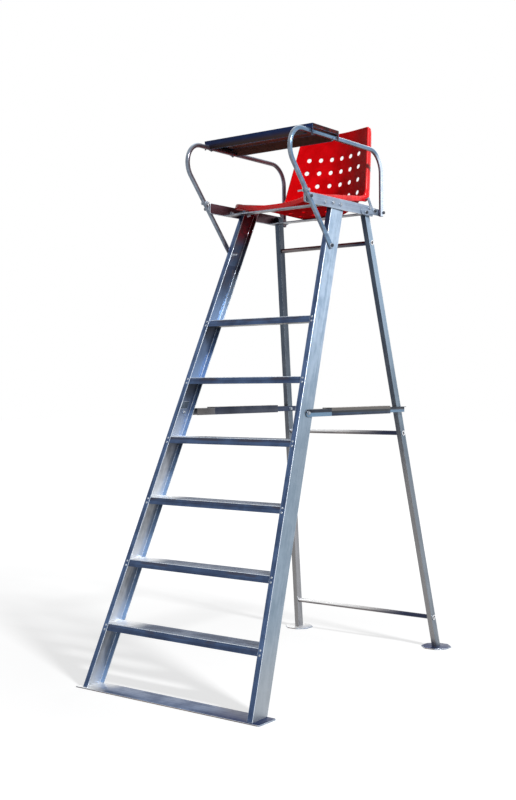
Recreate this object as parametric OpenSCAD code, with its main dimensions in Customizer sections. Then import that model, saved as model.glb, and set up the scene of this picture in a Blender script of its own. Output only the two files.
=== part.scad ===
// Umpire chair: an aluminium step ladder of two leaning channel stringers, a seat frame on top,
// two splayed rear legs, tube armrests that carry a writing tray, and a moulded seat.
// Millimetres, +Z up, +X to the chair's right when it is climbed, front (the steps) towards -Y.
// The origin is on the floor, at the middle of the chair's footprint.

/* [Steps] */
// Number of steps
step_count = 6; // [4:1:7]
// Height from one step to the next
step_pitch = 250; // [220:5:265]
// Height of the lowest step's top face
first_step_top = 248; // [200:2:280]
// Height of a step's box section
step_height = 28; // [20:1:40]
// Wall of a step's box section
step_wall = 2; // [1.5:0.5:3]

/* [Stringers] */
// Outer width of the step ladder at the floor
ladder_foot_width = 858; // [760:2:960]
// Narrowing of each side per metre of height
ladder_taper = 92; // [70:1:105]
// Lean of the stringers from the vertical, in degrees
ladder_lean = 22.5; // [18:0.5:26]
// Depth of a stringer's channel, front flange to rear flange
stringer_depth = 88; // [70:1:110]
// Width of a stringer's flanges
stringer_flange = 25; // [18:1:35]
// Wall of the stringers
stringer_wall = 3; // [2:0.5:4]
// Overhang of the base plate beyond the outside of each stringer
base_overhang = 35; // [20:1:60]
// Margin of the base plate in front of and behind the stringers
base_margin = 6; // [3:1:20]
// Thickness of the base plate and the foot plates
plate_thickness = 5; // [3:1:8]

/* [Seat frame] */
// Top of the seat rails
rail_top = 2006; // [1990:1:2040]
// Height of a seat rail
rail_height = 45; // [40:1:54]
// Thickness of a seat rail
rail_thickness = 8; // [6:1:14]
// Length of a seat rail
rail_length = 530; // [520:2:600]
// Overhang of the rails in front of the stringers
rail_overhang = 214; // [200:2:230]
// Radius of the rails' front corners
rail_corner = 8; // [4:1:12]
// Width of the crossbars under the seat
crossbar_width = 40; // [30:1:50]
// Thickness of the crossbars
crossbar_thickness = 5; // [3:0.5:8]
// Distance of the front crossbar behind the rails' front ends
crossbar_setback = 97; // [84:1:104]
// Length of the plates at the rails' rear ends
end_plate_length = 150; // [130:2:170]
// Thickness of the plates and struts at the rails' rear ends
end_plate_thickness = 3; // [2:0.5:4]

/* [Rear legs] */
// Distance of the legs' tops in front of the rails' rear ends
leg_setback = 42; // [36:1:60]
// Sideways lean of each rear leg, millimetres per metre of height
rear_splay = 77; // [50:1:90]
// Backward lean of the rear legs, millimetres per metre of height
rear_rake = 182; // [150:1:220]
// Width of a rear leg tube, side to side
leg_width = 23; // [20:1:30]
// Depth of a rear leg tube, front to rear
leg_depth = 36; // [30:1:45]
// Wall of the rear leg tubes
leg_wall = 2; // [1.5:0.5:3]
// Width of the eight-sided foot plates across their corners
foot_plate_width = 138; // [110:2:170]
// Drop of the top tie's centre line below the seat rails' top
tie_top_drop = 163; // [126:1:226]
// Height of the middle tie tube
tie_middle_height = 993; // [930:1:1040]
// Height of the bottom tie tube
tie_bottom_height = 141; // [100:1:300]
// Diameter of the tie tubes
tie_diameter = 20; // [16:1:22]
// Wall of the tie tubes
tie_wall = 2; // [1.5:0.5:3]
// Length of the flared ends of the ties outside the legs
tie_flare = 3; // [2:1:6]

/* [Side stays] */
// Height of the stays' centre line
stay_height = 1100; // [1070:1:1130]
// Height of the stay channel
stay_channel_height = 24; // [20:1:26]
// Height of the bracket round the front end of a stay
stay_bracket_height = 30; // [28:1:36]
// Height of the sleeve round the middle of a stay
stay_sleeve_height = 34; // [30:1:40]
// Sheet thickness of the stays, brackets and sleeves
stay_wall = 2; // [1.5:0.5:3]
// Length of a bracket behind the stringer
stay_bracket_length = 122; // [90:2:150]
// Length of the sleeve behind the bracket
stay_sleeve_length = 472; // [300:2:500]
// Overhang of a stay's rear end behind the leg
stay_rear_overhang = 27; // [10:1:40]

/* [Armrests and tray] */
// Diameter of the armrest tubes
arm_diameter = 20; // [18:1:22]
// Wall of the armrest tubes
arm_wall = 2; // [1.5:0.5:3]
// Height of the armrests' centre line above the seat rails
arm_rise = 246; // [220:1:290]
// Radius of the armrests' front bends
arm_front_radius = 84; // [60:2:100]
// Radius of the armrests' rear bends
arm_rear_radius = 96; // [60:2:110]
// Distance of the front bends' centres in front of the rails
arm_overhang = 40; // [24:1:50]
// Distance of the armrests' rear posts behind the rails
arm_setback = 50; // [40:1:60]
// Distance of the rear posts' ends below the top of the rails
arm_post_drop = 40; // [34:1:45]
// Distance of the armrests' lower bolts below the top of the rails
arm_bolt_drop = 209; // [180:1:240]
// Distance of the lower bolts behind the front of the stringers
arm_bolt_setback = 31; // [24:1:50]
// Length of the flattened lower ends
arm_lug_length = 52; // [46:1:70]
// Width of the flattened lower ends
arm_lug_width = 27; // [24:1:30]
// Thickness of the flattened lower ends
arm_lug_thickness = 6; // [4:1:8]
// Overhang of the writing tray beyond the middle of each armrest
tray_overhang = 18; // [14:1:40]
// Depth of the writing tray, front to rear
tray_depth = 196; // [160:2:230]
// Height of the tray's front and rear flanges
tray_flange = 40; // [30:1:50]
// Height of the tray's side lips
tray_lip = 17; // [10:1:19]
// Height of the tray's top above the armrest tubes
tray_standoff = 19; // [15:1:25]
// Sheet thickness of the tray
tray_wall = 2; // [1.5:0.5:3]
// Distance of the tray's front behind the armrests' front bend centres
tray_setback = 52; // [30:1:90]

/* [Seat] */
// Gap between the seat shell and each rail
seat_gap = 17; // [6:1:30]
// Distance of the seat's front edge behind the rails' front ends
seat_setback = 114; // [108:1:120]
// Length of the seat pan along its middle, front edge to bend
pan_length = 380; // [356:2:384]
// Slope of the seat pan, in degrees
pan_slope = 3.1; // [2:0.1:5]
// Height of the backrest's top edge above the seat rails
back_rise = 384; // [350:2:420]
// Lean of the backrest from the vertical, in degrees
back_lean = 9; // [6:0.2:14]
// Radius between the seat and the backrest
seat_bend_radius = 100; // [90:2:120]
// Narrowing of each side of the backrest up to its top edge
back_narrowing = 42; // [10:1:50]
// Thickness of the moulded shell
shell_thickness = 5; // [4:0.5:6]
// Depth of the rim round the shell's edge
rim_depth = 24; // [12:1:28]
// Extra depth of that rim along the sides and round the bend
rim_swell = 8; // [0:1:12]
// How far the rim cuts the corner between pan and backrest, as a share of its radius there
rim_corner_cut = 0.5; // [0:0.1:0.8]
// Rise of the sides above the middle at the front edge
rise_front = 24; // [10:1:30]
// Rise of the sides above the middle at the rear of the pan
rise_seat = 92; // [70:1:95]
// Rise of the sides before the middle at the backrest's foot
rise_waist = 85; // [50:1:90]
// Rise of the sides before the middle at the backrest's top
rise_back = 40; // [30:1:70]
// Radius of the shell's front corners
front_corner = 60; // [30:2:80]
// Radius of the shell's top corners
back_corner = 15; // [10:1:40]
// Drop of the backrest's top corners below the middle of its top edge
back_corner_drop = 6; // [0:1:25]
// Width of each foot under the front of the pan
seat_foot_width = 66; // [40:2:90]
// Distance from the middle of the seat to the middle of each foot
seat_foot_offset = 96; // [70:2:120]
// Diameter of the holes in the shell
hole_diameter = 21; // [14:1:24]
// Spacing of the backrest's hole columns at its foot; they close up as it narrows
back_column_pitch = 62; // [50:1:66]
// Spacing of the backrest's hole rows
back_row_pitch = 64; // [50:1:68]
// Distance of the top row of holes below the backrest's top edge
back_hole_margin = 120; // [80:1:140]
// Spacing of the pan's hole columns
pan_column_pitch = 70; // [50:1:80]
// Spacing of the pan's hole rows
pan_row_pitch = 77; // [50:1:80]
// Distance of the pan's first row of holes behind the front edge
pan_hole_margin = 119; // [80:1:130]

/* [Hidden] */
$fn = 48;
tie_top_height = rail_top - tie_top_drop;
TREADS = [for (i = [1 : step_count]) str("tread_", i)];

// Length of the blanks that are cut to height, and of the cuts that go right through
long = 3 * rail_top;
// Play between pieces that slide into each other
fit = 0.2;
bolt_hole = 8;

// Stringers: where their front and outer faces are at a height
lean_slope = tan(ladder_lean);
function stringer_front(z) = lean_slope * z;
function stringer_side(z) = ladder_foot_width / 2 - ladder_taper * z / 1000;
stringer_depth_level = stringer_depth / cos(ladder_lean);
stringer_roll = atan(ladder_taper / 1000 * cos(ladder_lean));

// Rails lie against the outer faces of the stringers' tops
rail_bottom = rail_top - rail_height;
rail_middle = (rail_top + rail_bottom) / 2;
rail_inner = stringer_side(rail_middle);
rail_outer = rail_inner + rail_thickness;
rail_front = stringer_front(rail_middle) - rail_overhang;
rail_rear = rail_front + rail_length;
top_clearance = 8;

// Rear legs: where the centre line is at a height
leg_gap = 3;
leg_top = rail_top - top_clearance;
leg_top_side = rail_inner - leg_gap - leg_width / 2;
leg_top_reach = rail_rear - leg_setback;
function leg_side(z) = leg_top_side + rear_splay / 1000 * (leg_top - z);
function leg_reach(z) = leg_top_reach + rear_rake / 1000 * (leg_top - z);
leg_rake_angle = atan(rear_rake / 1000);
leg_splay_angle = atan(rear_splay / 1000 * cos(leg_rake_angle));
leg_depth_level = leg_depth / cos(leg_rake_angle);

// The footprint runs from the base plate's front edge to the foot plates' rear edge
foot_flat_radius = foot_plate_width / 2 * cos(180 / 8);
footprint_middle = (leg_reach(0) + foot_flat_radius - base_margin) / 2;

// Crossbars: the front one by its setback, the rear one just in front of the legs
crossbar_front = rail_front + crossbar_setback;
crossbar_gap = 4;
crossbar_rear = leg_reach(rail_bottom) - leg_depth_level / 2 - crossbar_gap - crossbar_width;
crossbar_top = rail_bottom + crossbar_thickness;

metal = [0.74, 0.78, 0.83];
dark_metal = [0.36, 0.42, 0.5];
red = [0.86, 0.1, 0.12];
black = [0.1, 0.1, 0.13];

// Places a shape drawn behind the front of the stringers' feet in the chair's own frame
module at_footprint() {
    translate([0, -footprint_middle, 0]) children();
}

// Mirrors a right-hand shape for the left side
module on_side(side) {
    if (side > 0) children();
    else mirror([1, 0, 0]) children();
}

// Keeps what lies between two heights
module between_heights(low, high) {
    intersection() {
        children();
        translate([-long / 2, -long / 2, low]) cube([long, long, high - low]);
    }
}

// A bar along +Z, centred on the origin, that leans back and inwards as a leg does
module along_leg() {
    translate([leg_side(0), leg_reach(0), 0]) rotate([leg_rake_angle, 0, 0])
        rotate([0, -leg_splay_angle, 0]) children();
}

// A hole or shaft along X at a distance behind the stringers' feet and a height
module across(reach, height, d) {
    translate([0, reach, height]) rotate([0, 90, 0]) cylinder(h = long, d = d, center = true);
}

module base_plate() {
    width = ladder_foot_width + 2 * base_overhang;
    length = stringer_depth_level + 2 * base_margin;
    corner = base_margin;
    color(metal) at_footprint() translate([-width / 2, -base_margin, 0])
        linear_extrude(plate_thickness)
            polygon([[corner, 0], [width - corner, 0], [width, corner], [width, length - corner],
                     [width - corner, length], [corner, length], [0, length - corner],
                     [0, corner]]);
}

// A channel that leans back and inwards, cut level at both ends
module stringer(side) {
    d = stringer_depth;
    f = stringer_flange;
    w = stringer_wall;
    color(metal) at_footprint() on_side(side)
        between_heights(plate_thickness, rail_top - top_clearance)
            translate([ladder_foot_width / 2, 0, 0]) rotate([-ladder_lean, 0, 0])
                rotate([0, -stringer_roll, 0]) linear_extrude(long, center = true)
                    polygon([[0, 0], [0, d], [-f, d], [-f, d - w], [-w, d - w], [-w, w],
                             [-f, w], [-f, 0]]);
}

// A hollow step; its front and rear walls lie along the inside of the stringers' flanges
module tread(i) {
    top = first_step_top + (i - 1) * step_pitch;
    low = top - step_height;
    half = stringer_side(top) - stringer_wall / cos(stringer_roll) - fit;
    flange = (stringer_wall + fit) / cos(ladder_lean);
    depth = stringer_depth_level - 2 * flange;
    wall = step_wall / cos(ladder_lean);
    function slanted(z_low, z_high, inset) = [
        [z_low * lean_slope + inset, z_low], [z_low * lean_slope + depth - inset, z_low],
        [z_high * lean_slope + depth - inset, z_high], [z_high * lean_slope + inset, z_high]];
    color(metal) at_footprint() translate([-half, stringer_front(low) + flange, low])
        rotate([90, 0, 90]) linear_extrude(2 * half) difference() {
            polygon(slanted(0, step_height, 0));
            polygon(slanted(step_wall, step_height - step_wall, wall));
        }
}

// A flat bar with rounded front corners
module seat_rail(side) {
    r = rail_corner;
    color(metal) at_footprint() on_side(side) translate([rail_inner, rail_front, rail_bottom])
        rotate([90, 0, 90]) linear_extrude(rail_thickness) union() {
            translate([r, 0]) square([rail_length - r, rail_height]);
            translate([0, r]) square([2 * r, rail_height - 2 * r]);
            translate([r, r]) circle(r = r);
            translate([r, rail_height - r]) circle(r = r);
        }
}

module crossbar(reach) {
    color(metal) at_footprint() translate([-rail_inner, reach, rail_bottom])
        cube([2 * rail_inner, crossbar_width, crossbar_thickness]);
}

// A rectangular tube, cut level at both ends, with a hole for each tie
module rear_leg(side) {
    w = leg_wall;
    color(dark_metal) at_footprint() on_side(side) difference() {
        between_heights(plate_thickness, leg_top) along_leg() linear_extrude(long, center = true)
            difference() {
                square([leg_width, leg_depth], center = true);
                square([leg_width - 2 * w, leg_depth - 2 * w], center = true);
            }
        for (z = [tie_bottom_height, tie_middle_height, tie_top_height])
            across(leg_reach(z), z, tie_diameter + fit);
    }
}

// A round tie between the legs; its ends come through the legs and are flared
module rear_tie(z) {
    rise = tie_diameter / 2 + tie_flare;
    half = leg_side(z - rise) + leg_width / 2 / cos(leg_splay_angle) + tie_flare;
    color(dark_metal) at_footprint() translate([0, leg_reach(z), z]) rotate([0, 90, 0])
        difference() {
            union() {
                cylinder(h = 2 * half, d = tie_diameter, center = true);
                for (end = [-1, 1]) translate([0, 0, end * (half - tie_flare / 2)])
                    cylinder(h = tie_flare, d = tie_diameter + tie_flare, center = true);
            }
            cylinder(h = 3 * half, d = tie_diameter - 2 * tie_wall, center = true);
        }
}

module rear_foot(side) {
    color(metal) at_footprint() on_side(side)
        translate([leg_side(0), leg_reach(0), 0]) rotate([0, 0, 180 / 8])
            cylinder(h = plate_thickness, d = foot_plate_width, $fn = 8);
}

// Side stays are channels, open below. A stay's inner side lies on the leg; its outer side is
// in line with the outer face of the stringer. The bracket and the sleeve fit over it.
bracket_top = stay_height + stay_bracket_height / 2;
stay_top = bracket_top - stay_wall;
stay_low = stay_top - stay_channel_height;
stay_inner = leg_side(stay_top) - leg_width / 2 - stay_wall;
stay_outer = stringer_side(stay_height - stay_bracket_height / 2);
stay_rear = leg_reach(stay_height) + leg_depth_level / 2 + stay_rear_overhang;
bracket_front = stringer_front(bracket_top) + stringer_depth_level;
bracket_rear = bracket_front + stay_bracket_length;
stay_front = bracket_rear - stay_bracket_length / 2;

module channel_run(inner, outer, low, high, front, rear) {
    w = stay_wall;
    translate([inner, rear, low]) rotate([90, 0, 0]) linear_extrude(rear - front)
        polygon([[0, 0], [w, 0], [w, high - low - w], [outer - inner - w, high - low - w],
                 [outer - inner - w, 0], [outer - inner, 0], [outer - inner, high - low],
                 [0, high - low]]);
}

module side_stay(side) {
    leg_front = leg_reach(stay_height) - leg_depth_level / 2;
    play = leg_gap * 3;
    color(dark_metal) at_footprint() on_side(side) difference() {
        channel_run(stay_inner, stay_outer, stay_low, stay_top, stay_front, stay_rear);
        // the top is open round the leg
        translate([stay_inner + stay_wall - fit, leg_front - play, stay_top - 2 * stay_wall])
            cube([leg_width + play, leg_depth_level + 2 * play, 3 * stay_wall]);
        // the outer side stops at the leg's rear edge
        translate([stay_outer - 3 * stay_wall, leg_front + leg_depth_level, stay_low - play])
            cube([6 * stay_wall, stay_rear, stay_channel_height + 2 * play]);
        across(leg_reach(stay_height), stay_height, bolt_hole);
    }
}

// The bracket reaches round the stay's front end; a rounded lug lies on the stringer
module stay_bracket(side) {
    w = stay_wall;
    low = bracket_top - stay_bracket_height;
    lug_reach = bracket_front - stringer_depth_level / 2;
    color(metal) at_footprint() on_side(side) difference() {
        union() {
            channel_run(stay_inner - w, stay_outer + w, low, bracket_top, bracket_front,
                        bracket_rear);
            translate([stay_outer, lug_reach, low])
                cube([w, bracket_rear - lug_reach, stay_bracket_height]);
            translate([stay_outer, lug_reach, stay_height]) rotate([0, 90, 0])
                cylinder(h = w, d = stay_bracket_height);
        }
        translate([stay_outer - w, lug_reach, stay_height]) rotate([0, 90, 0])
            cylinder(h = 3 * w, d = bolt_hole);
    }
}

// The sleeve lies round the stay behind the bracket
module stay_sleeve(side) {
    low = bracket_top - stay_bracket_height;
    color(dark_metal) at_footprint() on_side(side)
        channel_run(stay_inner - stay_wall, stay_outer + stay_wall, low,
                    low + stay_sleeve_height, bracket_rear, bracket_rear + stay_sleeve_length);
}

// Plate on the rear end of a rail, with a rounded front: it carries the armrest's post
plate_lobe = rail_height / 3;
plate_step = end_plate_length / 3;
plate_front = rail_rear + arm_setback - end_plate_length;
// where the seat's strut is bolted, just behind the rail
strut_foot = [rail_rear + 1.5 * bolt_hole, rail_middle + bolt_hole / 2];

module rail_end_plate(side) {
    t = end_plate_thickness;
    color(metal) at_footprint() on_side(side)
        translate([rail_outer, plate_front, rail_bottom]) rotate([90, 0, 90]) difference() {
            linear_extrude(t) union() {
                translate([plate_lobe, plate_lobe]) circle(r = plate_lobe);
                translate([plate_lobe, 0]) square([plate_step, 2 * plate_lobe]);
                translate([plate_step, top_clearance])
                    square([end_plate_length - plate_step, rail_height - 2 * top_clearance]);
            }
            translate([plate_step * 0.8, plate_lobe * 0.8, 0])
                cylinder(h = 3 * t, d = bolt_hole, center = true);
            translate([strut_foot[0] - plate_front, strut_foot[1] - rail_bottom, 0])
                cylinder(h = 3 * t, d = bolt_hole, center = true);
        }
}

// The armrest is a bent tube beside the rail. Its line is drawn in a plane: first along the
// chair, then up. Its lower run is tangent to the front bend and ends in a flattened lug.
arm_plane = rail_outer + end_plate_thickness + arm_diameter / 2;
arm_height = rail_top + arm_rise;
arm_front = rail_front - arm_overhang;
arm_rear = rail_rear + arm_setback;
arm_rear_bottom = rail_top - arm_post_drop;
arm_bend_height = arm_height - arm_front_radius;
arm_bolt_height = rail_top - arm_bolt_drop;
arm_bolt_reach = stringer_front(arm_bolt_height) + arm_bolt_setback;
arm_end = [arm_bolt_reach - arm_front, arm_bend_height - arm_bolt_height];
arm_run = sqrt(pow(norm(arm_end), 2) - pow(arm_front_radius, 2));
arm_run_angle = round(1000 * (asin(arm_front_radius / norm(arm_end))
                              + atan2(arm_end[0], arm_end[1]))) / 1000;
// where the lower run crosses the rail
arm_cross_reach = arm_bolt_reach - (rail_middle - arm_bolt_height) * tan(arm_run_angle);

module arm_line(r, open_end) {
    translate([arm_front, arm_bend_height, 0]) {
        rotate([0, 0, 90]) rotate_extrude(angle = 90 + arm_run_angle)
            translate([arm_front_radius, 0]) circle(r = r);
        // the lower run starts inside the bend and is a hair thicker
        rotate([0, 0, 180 + arm_run_angle]) translate([arm_front_radius, -5 * fit, 0])
            rotate([-90, 0, 0])
                cylinder(h = arm_run - arm_lug_length + 5 * fit + open_end, r = r + fit / 4);
    }
    translate([arm_front, arm_height, 0]) rotate([0, 90, 0])
        cylinder(h = arm_rear - arm_rear_radius - arm_front, r = r);
    translate([arm_rear - arm_rear_radius, arm_height - arm_rear_radius, 0])
        rotate_extrude(angle = 90) translate([arm_rear_radius, 0]) circle(r = r);
    translate([arm_rear, arm_height - arm_rear_radius, 0]) rotate([90, 0, 0])
        cylinder(h = arm_height - arm_rear_radius - arm_rear_bottom + open_end, r = r);
}

module armrest(side) {
    bite = arm_lug_thickness;
    lug_inner = stringer_side(arm_bolt_height - arm_lug_width / 2) - arm_plane;
    washer_inner = rail_outer - arm_plane;
    color(metal) at_footprint() on_side(side) translate([arm_plane, 0, 0])
        rotate([90, 0, 90]) {
            difference() {
                union() {
                    arm_line(arm_diameter / 2, 0);
                    translate([arm_cross_reach, rail_middle, washer_inner])
                        cylinder(h = end_plate_thickness + arm_wall / 2, d = 2 * bolt_hole);
                }
                arm_line(arm_diameter / 2 - arm_wall, 1);
                translate([arm_rear, arm_rear_bottom + 2 * bolt_hole, 0])
                    cylinder(h = 2 * arm_diameter, d = bolt_hole, center = true);
            }
            translate([arm_bolt_reach, arm_bolt_height, lug_inner]) difference() {
                union() {
                    cylinder(h = arm_lug_thickness, d = arm_lug_width);
                    rotate([0, 0, 90 + arm_run_angle]) translate([0, -arm_lug_width / 2, 0])
                        cube([arm_lug_length + bite, arm_lug_width, arm_lug_thickness]);
                }
                cylinder(h = 3 * arm_lug_thickness, d = bolt_hole, center = true);
            }
        }
}

// An inverted shallow tray; its front and rear flanges are notched over the armrest tubes
module writing_tray() {
    w = tray_wall;
    width = 2 * (arm_plane + tray_overhang);
    top = arm_height + arm_diameter / 2 + tray_standoff;
    notch = arm_diameter + 2 * fit;
    notch_middle = arm_height - fit - top;
    color(black) at_footprint() translate([0, arm_front + tray_setback, top]) difference() {
        union() {
            translate([-width / 2, 0, -w]) cube([width, tray_depth, w]);
            for (y = [0, tray_depth - w]) translate([-width / 2, y, -tray_flange])
                cube([width, w, tray_flange]);
            for (x = [-width / 2, width / 2 - w]) translate([x, 0, -tray_lip])
                cube([w, tray_depth, tray_lip]);
        }
        for (x = [-arm_plane, arm_plane]) translate([x, -w, notch_middle]) {
            rotate([-90, 0, 0]) cylinder(h = tray_depth + 2 * w, d = notch);
            translate([-notch / 2, 0, -tray_flange])
                cube([notch, tray_depth + 2 * w, tray_flange]);
        }
    }
}

// The seat: one moulded shell. A middle line runs from the front edge back over the pan, round
// a bend and up the backrest; at each place on it the shell's sides rise towards the sitter.
seat_width = 2 * (rail_inner - seat_gap);
seat_front = rail_front + seat_setback;
seat_front_height = crossbar_top + shell_thickness / cos(pan_slope)
    + tan(pan_slope) * (crossbar_rear + crossbar_width - seat_front);
pan_end = [seat_front + pan_length * cos(pan_slope),
           seat_front_height - pan_length * sin(pan_slope)];
bend_turn = 90 - back_lean + pan_slope;
bend_middle = pan_end + seat_bend_radius * [sin(pan_slope), cos(pan_slope)];
function bend_point(turn) = bend_middle + seat_bend_radius * [sin(turn), -cos(turn)];
back_start = bend_point(90 - back_lean);
back_top = rail_top + back_rise;
back_length = (back_top - back_start[1]) / cos(back_lean);
pan_steps = 14;
bend_steps = 8;
back_steps = 14;
across_steps = 20;
// How sharply the sides turn up: the higher the power, the flatter the middle
pan_power = 2.5;
back_power = 1.7;

// Half the width of the backrest at t, 0 at its foot to 1 at its top edge
function back_half_width(t) = seat_width / 2 - back_narrowing * t;

// How far a rounded corner takes in the outline at a distance from its edge
function corner_inset(d, radius) = d >= radius ? 0
    : radius - sqrt(pow(radius, 2) - pow(radius - d, 2));

// How much the sides rise further where the rim cuts the corner; it fades beyond the bend
cut_fade = 0.75 * rim_depth;
function corner_cut(rise, beyond) = rim_corner_cut * (seat_bend_radius - rise)
    * pow(max(0, 1 - beyond / cut_fade), 2);

// Each place is [reach, height, turn of the line from level, side rise, shape power, half
// width, drop of the sides along the line, 1 at the rim and 0 elsewhere, extra rim depth]
function pan_place(t) = let (
    rise = rise_front + (rise_seat - rise_front) * t,
    cut = corner_cut(rise, (1 - t) * pan_length))
    concat(pan_end + (1 - t) * pan_length * [-cos(pan_slope), sin(pan_slope)], -pan_slope,
           rise + cut, pan_power,
           seat_width / 2 - corner_inset(t * pan_length, front_corner), 0, t == 0 ? 1 : 0,
           rim_swell * (1 - pow(1 - t, 3)) + cut);
function bend_place(t) = let (
    rise = rise_seat + (rise_waist - rise_seat) * t,
    cut = corner_cut(rise, 0))
    concat(bend_point(t * bend_turn - pan_slope), t * bend_turn - pan_slope,
           rise + cut, pan_power + (back_power - pan_power) * t,
           seat_width / 2, 0, 0, rim_swell + cut);
function back_place(t) = let (
    rise = rise_waist + (rise_back - rise_waist) * t,
    cut = corner_cut(rise, t * back_length))
    concat(back_start + t * back_length * [sin(back_lean), cos(back_lean)], 90 - back_lean,
           rise + cut, back_power,
           back_half_width(t) - corner_inset((1 - t) * back_length, back_corner),
           back_corner_drop * pow(t, 6), t == 1 ? 1 : 0, rim_swell * (1 - pow(t, 3)) + cut);
// Steps of 0 to 1 that are short at both ends
function even_ease(t) = t * t * (3 - 2 * t);
places = concat([for (i = [0 : pan_steps]) pan_place(even_ease(i / pan_steps))],
                [for (i = [1 : bend_steps]) bend_place(i / bend_steps)],
                [for (i = [1 : back_steps]) back_place(even_ease(i / back_steps))]);

// A point of the shell at u, -1 to 1 across it, and a depth below its face
function shell_point(p, u, depth) = let (
    rise = p[3] * pow(abs(u), p[4]) - depth,
    drop = p[6] * pow(abs(u), 3))
    [p[5] * u,
     p[0] - sin(p[2]) * rise - cos(p[2]) * drop,
     p[1] + cos(p[2]) * rise - sin(p[2]) * drop];

// Depth of the shell's underside: its thickness, and more along the rim
function under_depth(p, u) = shell_thickness
    + (rim_depth + p[8] - shell_thickness) * max(p[7], pow(abs(u), 24));

module seat_blank() {
    rows = len(places);
    columns = across_steps + 1;
    layer = rows * columns;
    function at(i, j) = i * columns + j;
    points = [for (under = [0, 1]) for (p = places) for (j = [0 : across_steps])
        let (u = 2 * j / across_steps - 1) shell_point(p, u, under * under_depth(p, u))];
    top_faces = [for (i = [0 : rows - 2]) for (j = [0 : across_steps - 1])
        for (f = [[at(i, j), at(i + 1, j), at(i, j + 1)],
                  [at(i, j + 1), at(i + 1, j), at(i + 1, j + 1)]]) f];
    under_faces = [for (f = top_faces) [f[0] + layer, f[2] + layer, f[1] + layer]];
    rim = concat([for (j = [0 : across_steps - 1]) at(0, j)],
                 [for (i = [0 : rows - 2]) at(i, across_steps)],
                 [for (j = [across_steps : -1 : 1]) at(rows - 1, j)],
                 [for (i = [rows - 1 : -1 : 1]) at(i, 0)]);
    rim_faces = [for (k = [0 : len(rim) - 1]) let (a = rim[k], b = rim[(k + 1) % len(rim)])
        for (f = [[a, b, a + layer], [b, b + layer, a + layer]]) f];
    polyhedron(points = points, faces = concat(top_faces, under_faces, rim_faces));
}

// Holes through the backrest, square to it
module back_holes() {
    for (row = [0 : 3]) for (column = [-2.5 : 1 : 2.5])
        let (z = back_top - back_hole_margin - row * back_row_pitch,
             t = max(0, (z - back_start[1]) / (back_top - back_start[1])),
             x = column * back_column_pitch * back_half_width(t) / back_half_width(0))
        translate([x, back_start[0], z]) rotate([90 - back_lean, 0, 0])
            cylinder(h = 2 * seat_bend_radius, d = hole_diameter, center = true, $fn = 16);
}

// Holes through the pan, square to it
module pan_holes() {
    for (row = [0 : 2]) for (column = [-1.5 : 1 : 1.5])
        translate([column * pan_column_pitch, seat_front, seat_front_height])
            rotate([-pan_slope, 0, 0])
                translate([0, pan_hole_margin + row * pan_row_pitch, 0])
                    cylinder(h = 8 * shell_thickness, d = hole_diameter, center = true,
                             $fn = 16);
}

module seat_shell() {
    foot_front = seat_front + shell_thickness / 2;
    foot_depth = crossbar_front + crossbar_width - foot_front;
    color(red) at_footprint() difference() {
        union() {
            seat_blank();
            for (side = [-1, 1])
                translate([side * seat_foot_offset - seat_foot_width / 2, foot_front,
                           crossbar_top])
                    cube([seat_foot_width, foot_depth, seat_front_height - crossbar_top
                          - foot_depth * tan(pan_slope) - shell_thickness / 2]);
        }
        back_holes();
        pan_holes();
    }
}

// Flat bar inside the rail that props the seat's rim, low on its corner, from the rail's end
// plate; a spacer at each end reaches the plate and the rim.
module seat_strut(side) {
    t = end_plate_thickness;
    width = 2 * bolt_hole;
    corner = bend_place(0.25);
    rim = shell_point(corner, 1, under_depth(corner, 1) - bolt_hole);
    head = [rim[1], rim[2]];
    length = norm(head - strut_foot);
    color(metal) at_footprint() on_side(side) {
        translate([rail_inner - t, strut_foot[0], strut_foot[1]])
            rotate([-atan2(head[0] - strut_foot[0], head[1] - strut_foot[1]), 0, 0])
                rotate([0, 90, 0]) {
                    translate([-length, -width / 2, 0]) cube([length, width, t]);
                    cylinder(h = t + rail_thickness, d = width);
                    translate([-length, 0, 0]) cylinder(h = t, d = width);
                }
        translate([seat_width / 2, head[0], head[1]]) rotate([0, 90, 0])
            cylinder(h = seat_gap - t / 2, d = bolt_hole);
    }
}

base_plate();  // front_base_plate
stringer(-1);  // front_stringer_left
stringer(1);  // front_stringer_right
for (i = [1 : step_count]) tread(i);
seat_rail(-1);  // seat_rail_left
seat_rail(1);  // seat_rail_right
crossbar(crossbar_front);  // seat_crossbar_front
crossbar(crossbar_rear);  // seat_crossbar_rear
rear_leg(-1);  // rear_leg_left
rear_leg(1);  // rear_leg_right
rear_tie(tie_top_height);  // rear_tie_top
rear_tie(tie_middle_height);  // rear_tie_middle
rear_tie(tie_bottom_height);  // rear_tie_bottom
rear_foot(-1);  // rear_foot_left
rear_foot(1);  // rear_foot_right
stay_bracket(-1);  // stay_bracket_left
stay_bracket(1);  // stay_bracket_right
side_stay(-1);  // side_stay_left
side_stay(1);  // side_stay_right
stay_sleeve(-1);  // stay_sleeve_left
stay_sleeve(1);  // stay_sleeve_right
rail_end_plate(-1);  // rail_end_plate_left
rail_end_plate(1);  // rail_end_plate_right
seat_strut(-1);  // seat_strut_left
seat_strut(1);  // seat_strut_right
armrest(-1);  // armrest_left
armrest(1);  // armrest_right
writing_tray();
seat_shell();
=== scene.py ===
"""Looks of the umpire chair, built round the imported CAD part. Metres; front (the steps) towards -Y."""
import random
from math import asin, atan, atan2, copysign, cos, exp, hypot, pi, radians, sin, sqrt, tan, tau

import bmesh
import bpy
import numpy as np
from mathutils import Matrix, Vector
from mathutils.geometry import delaunay_2d_cdt

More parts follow.
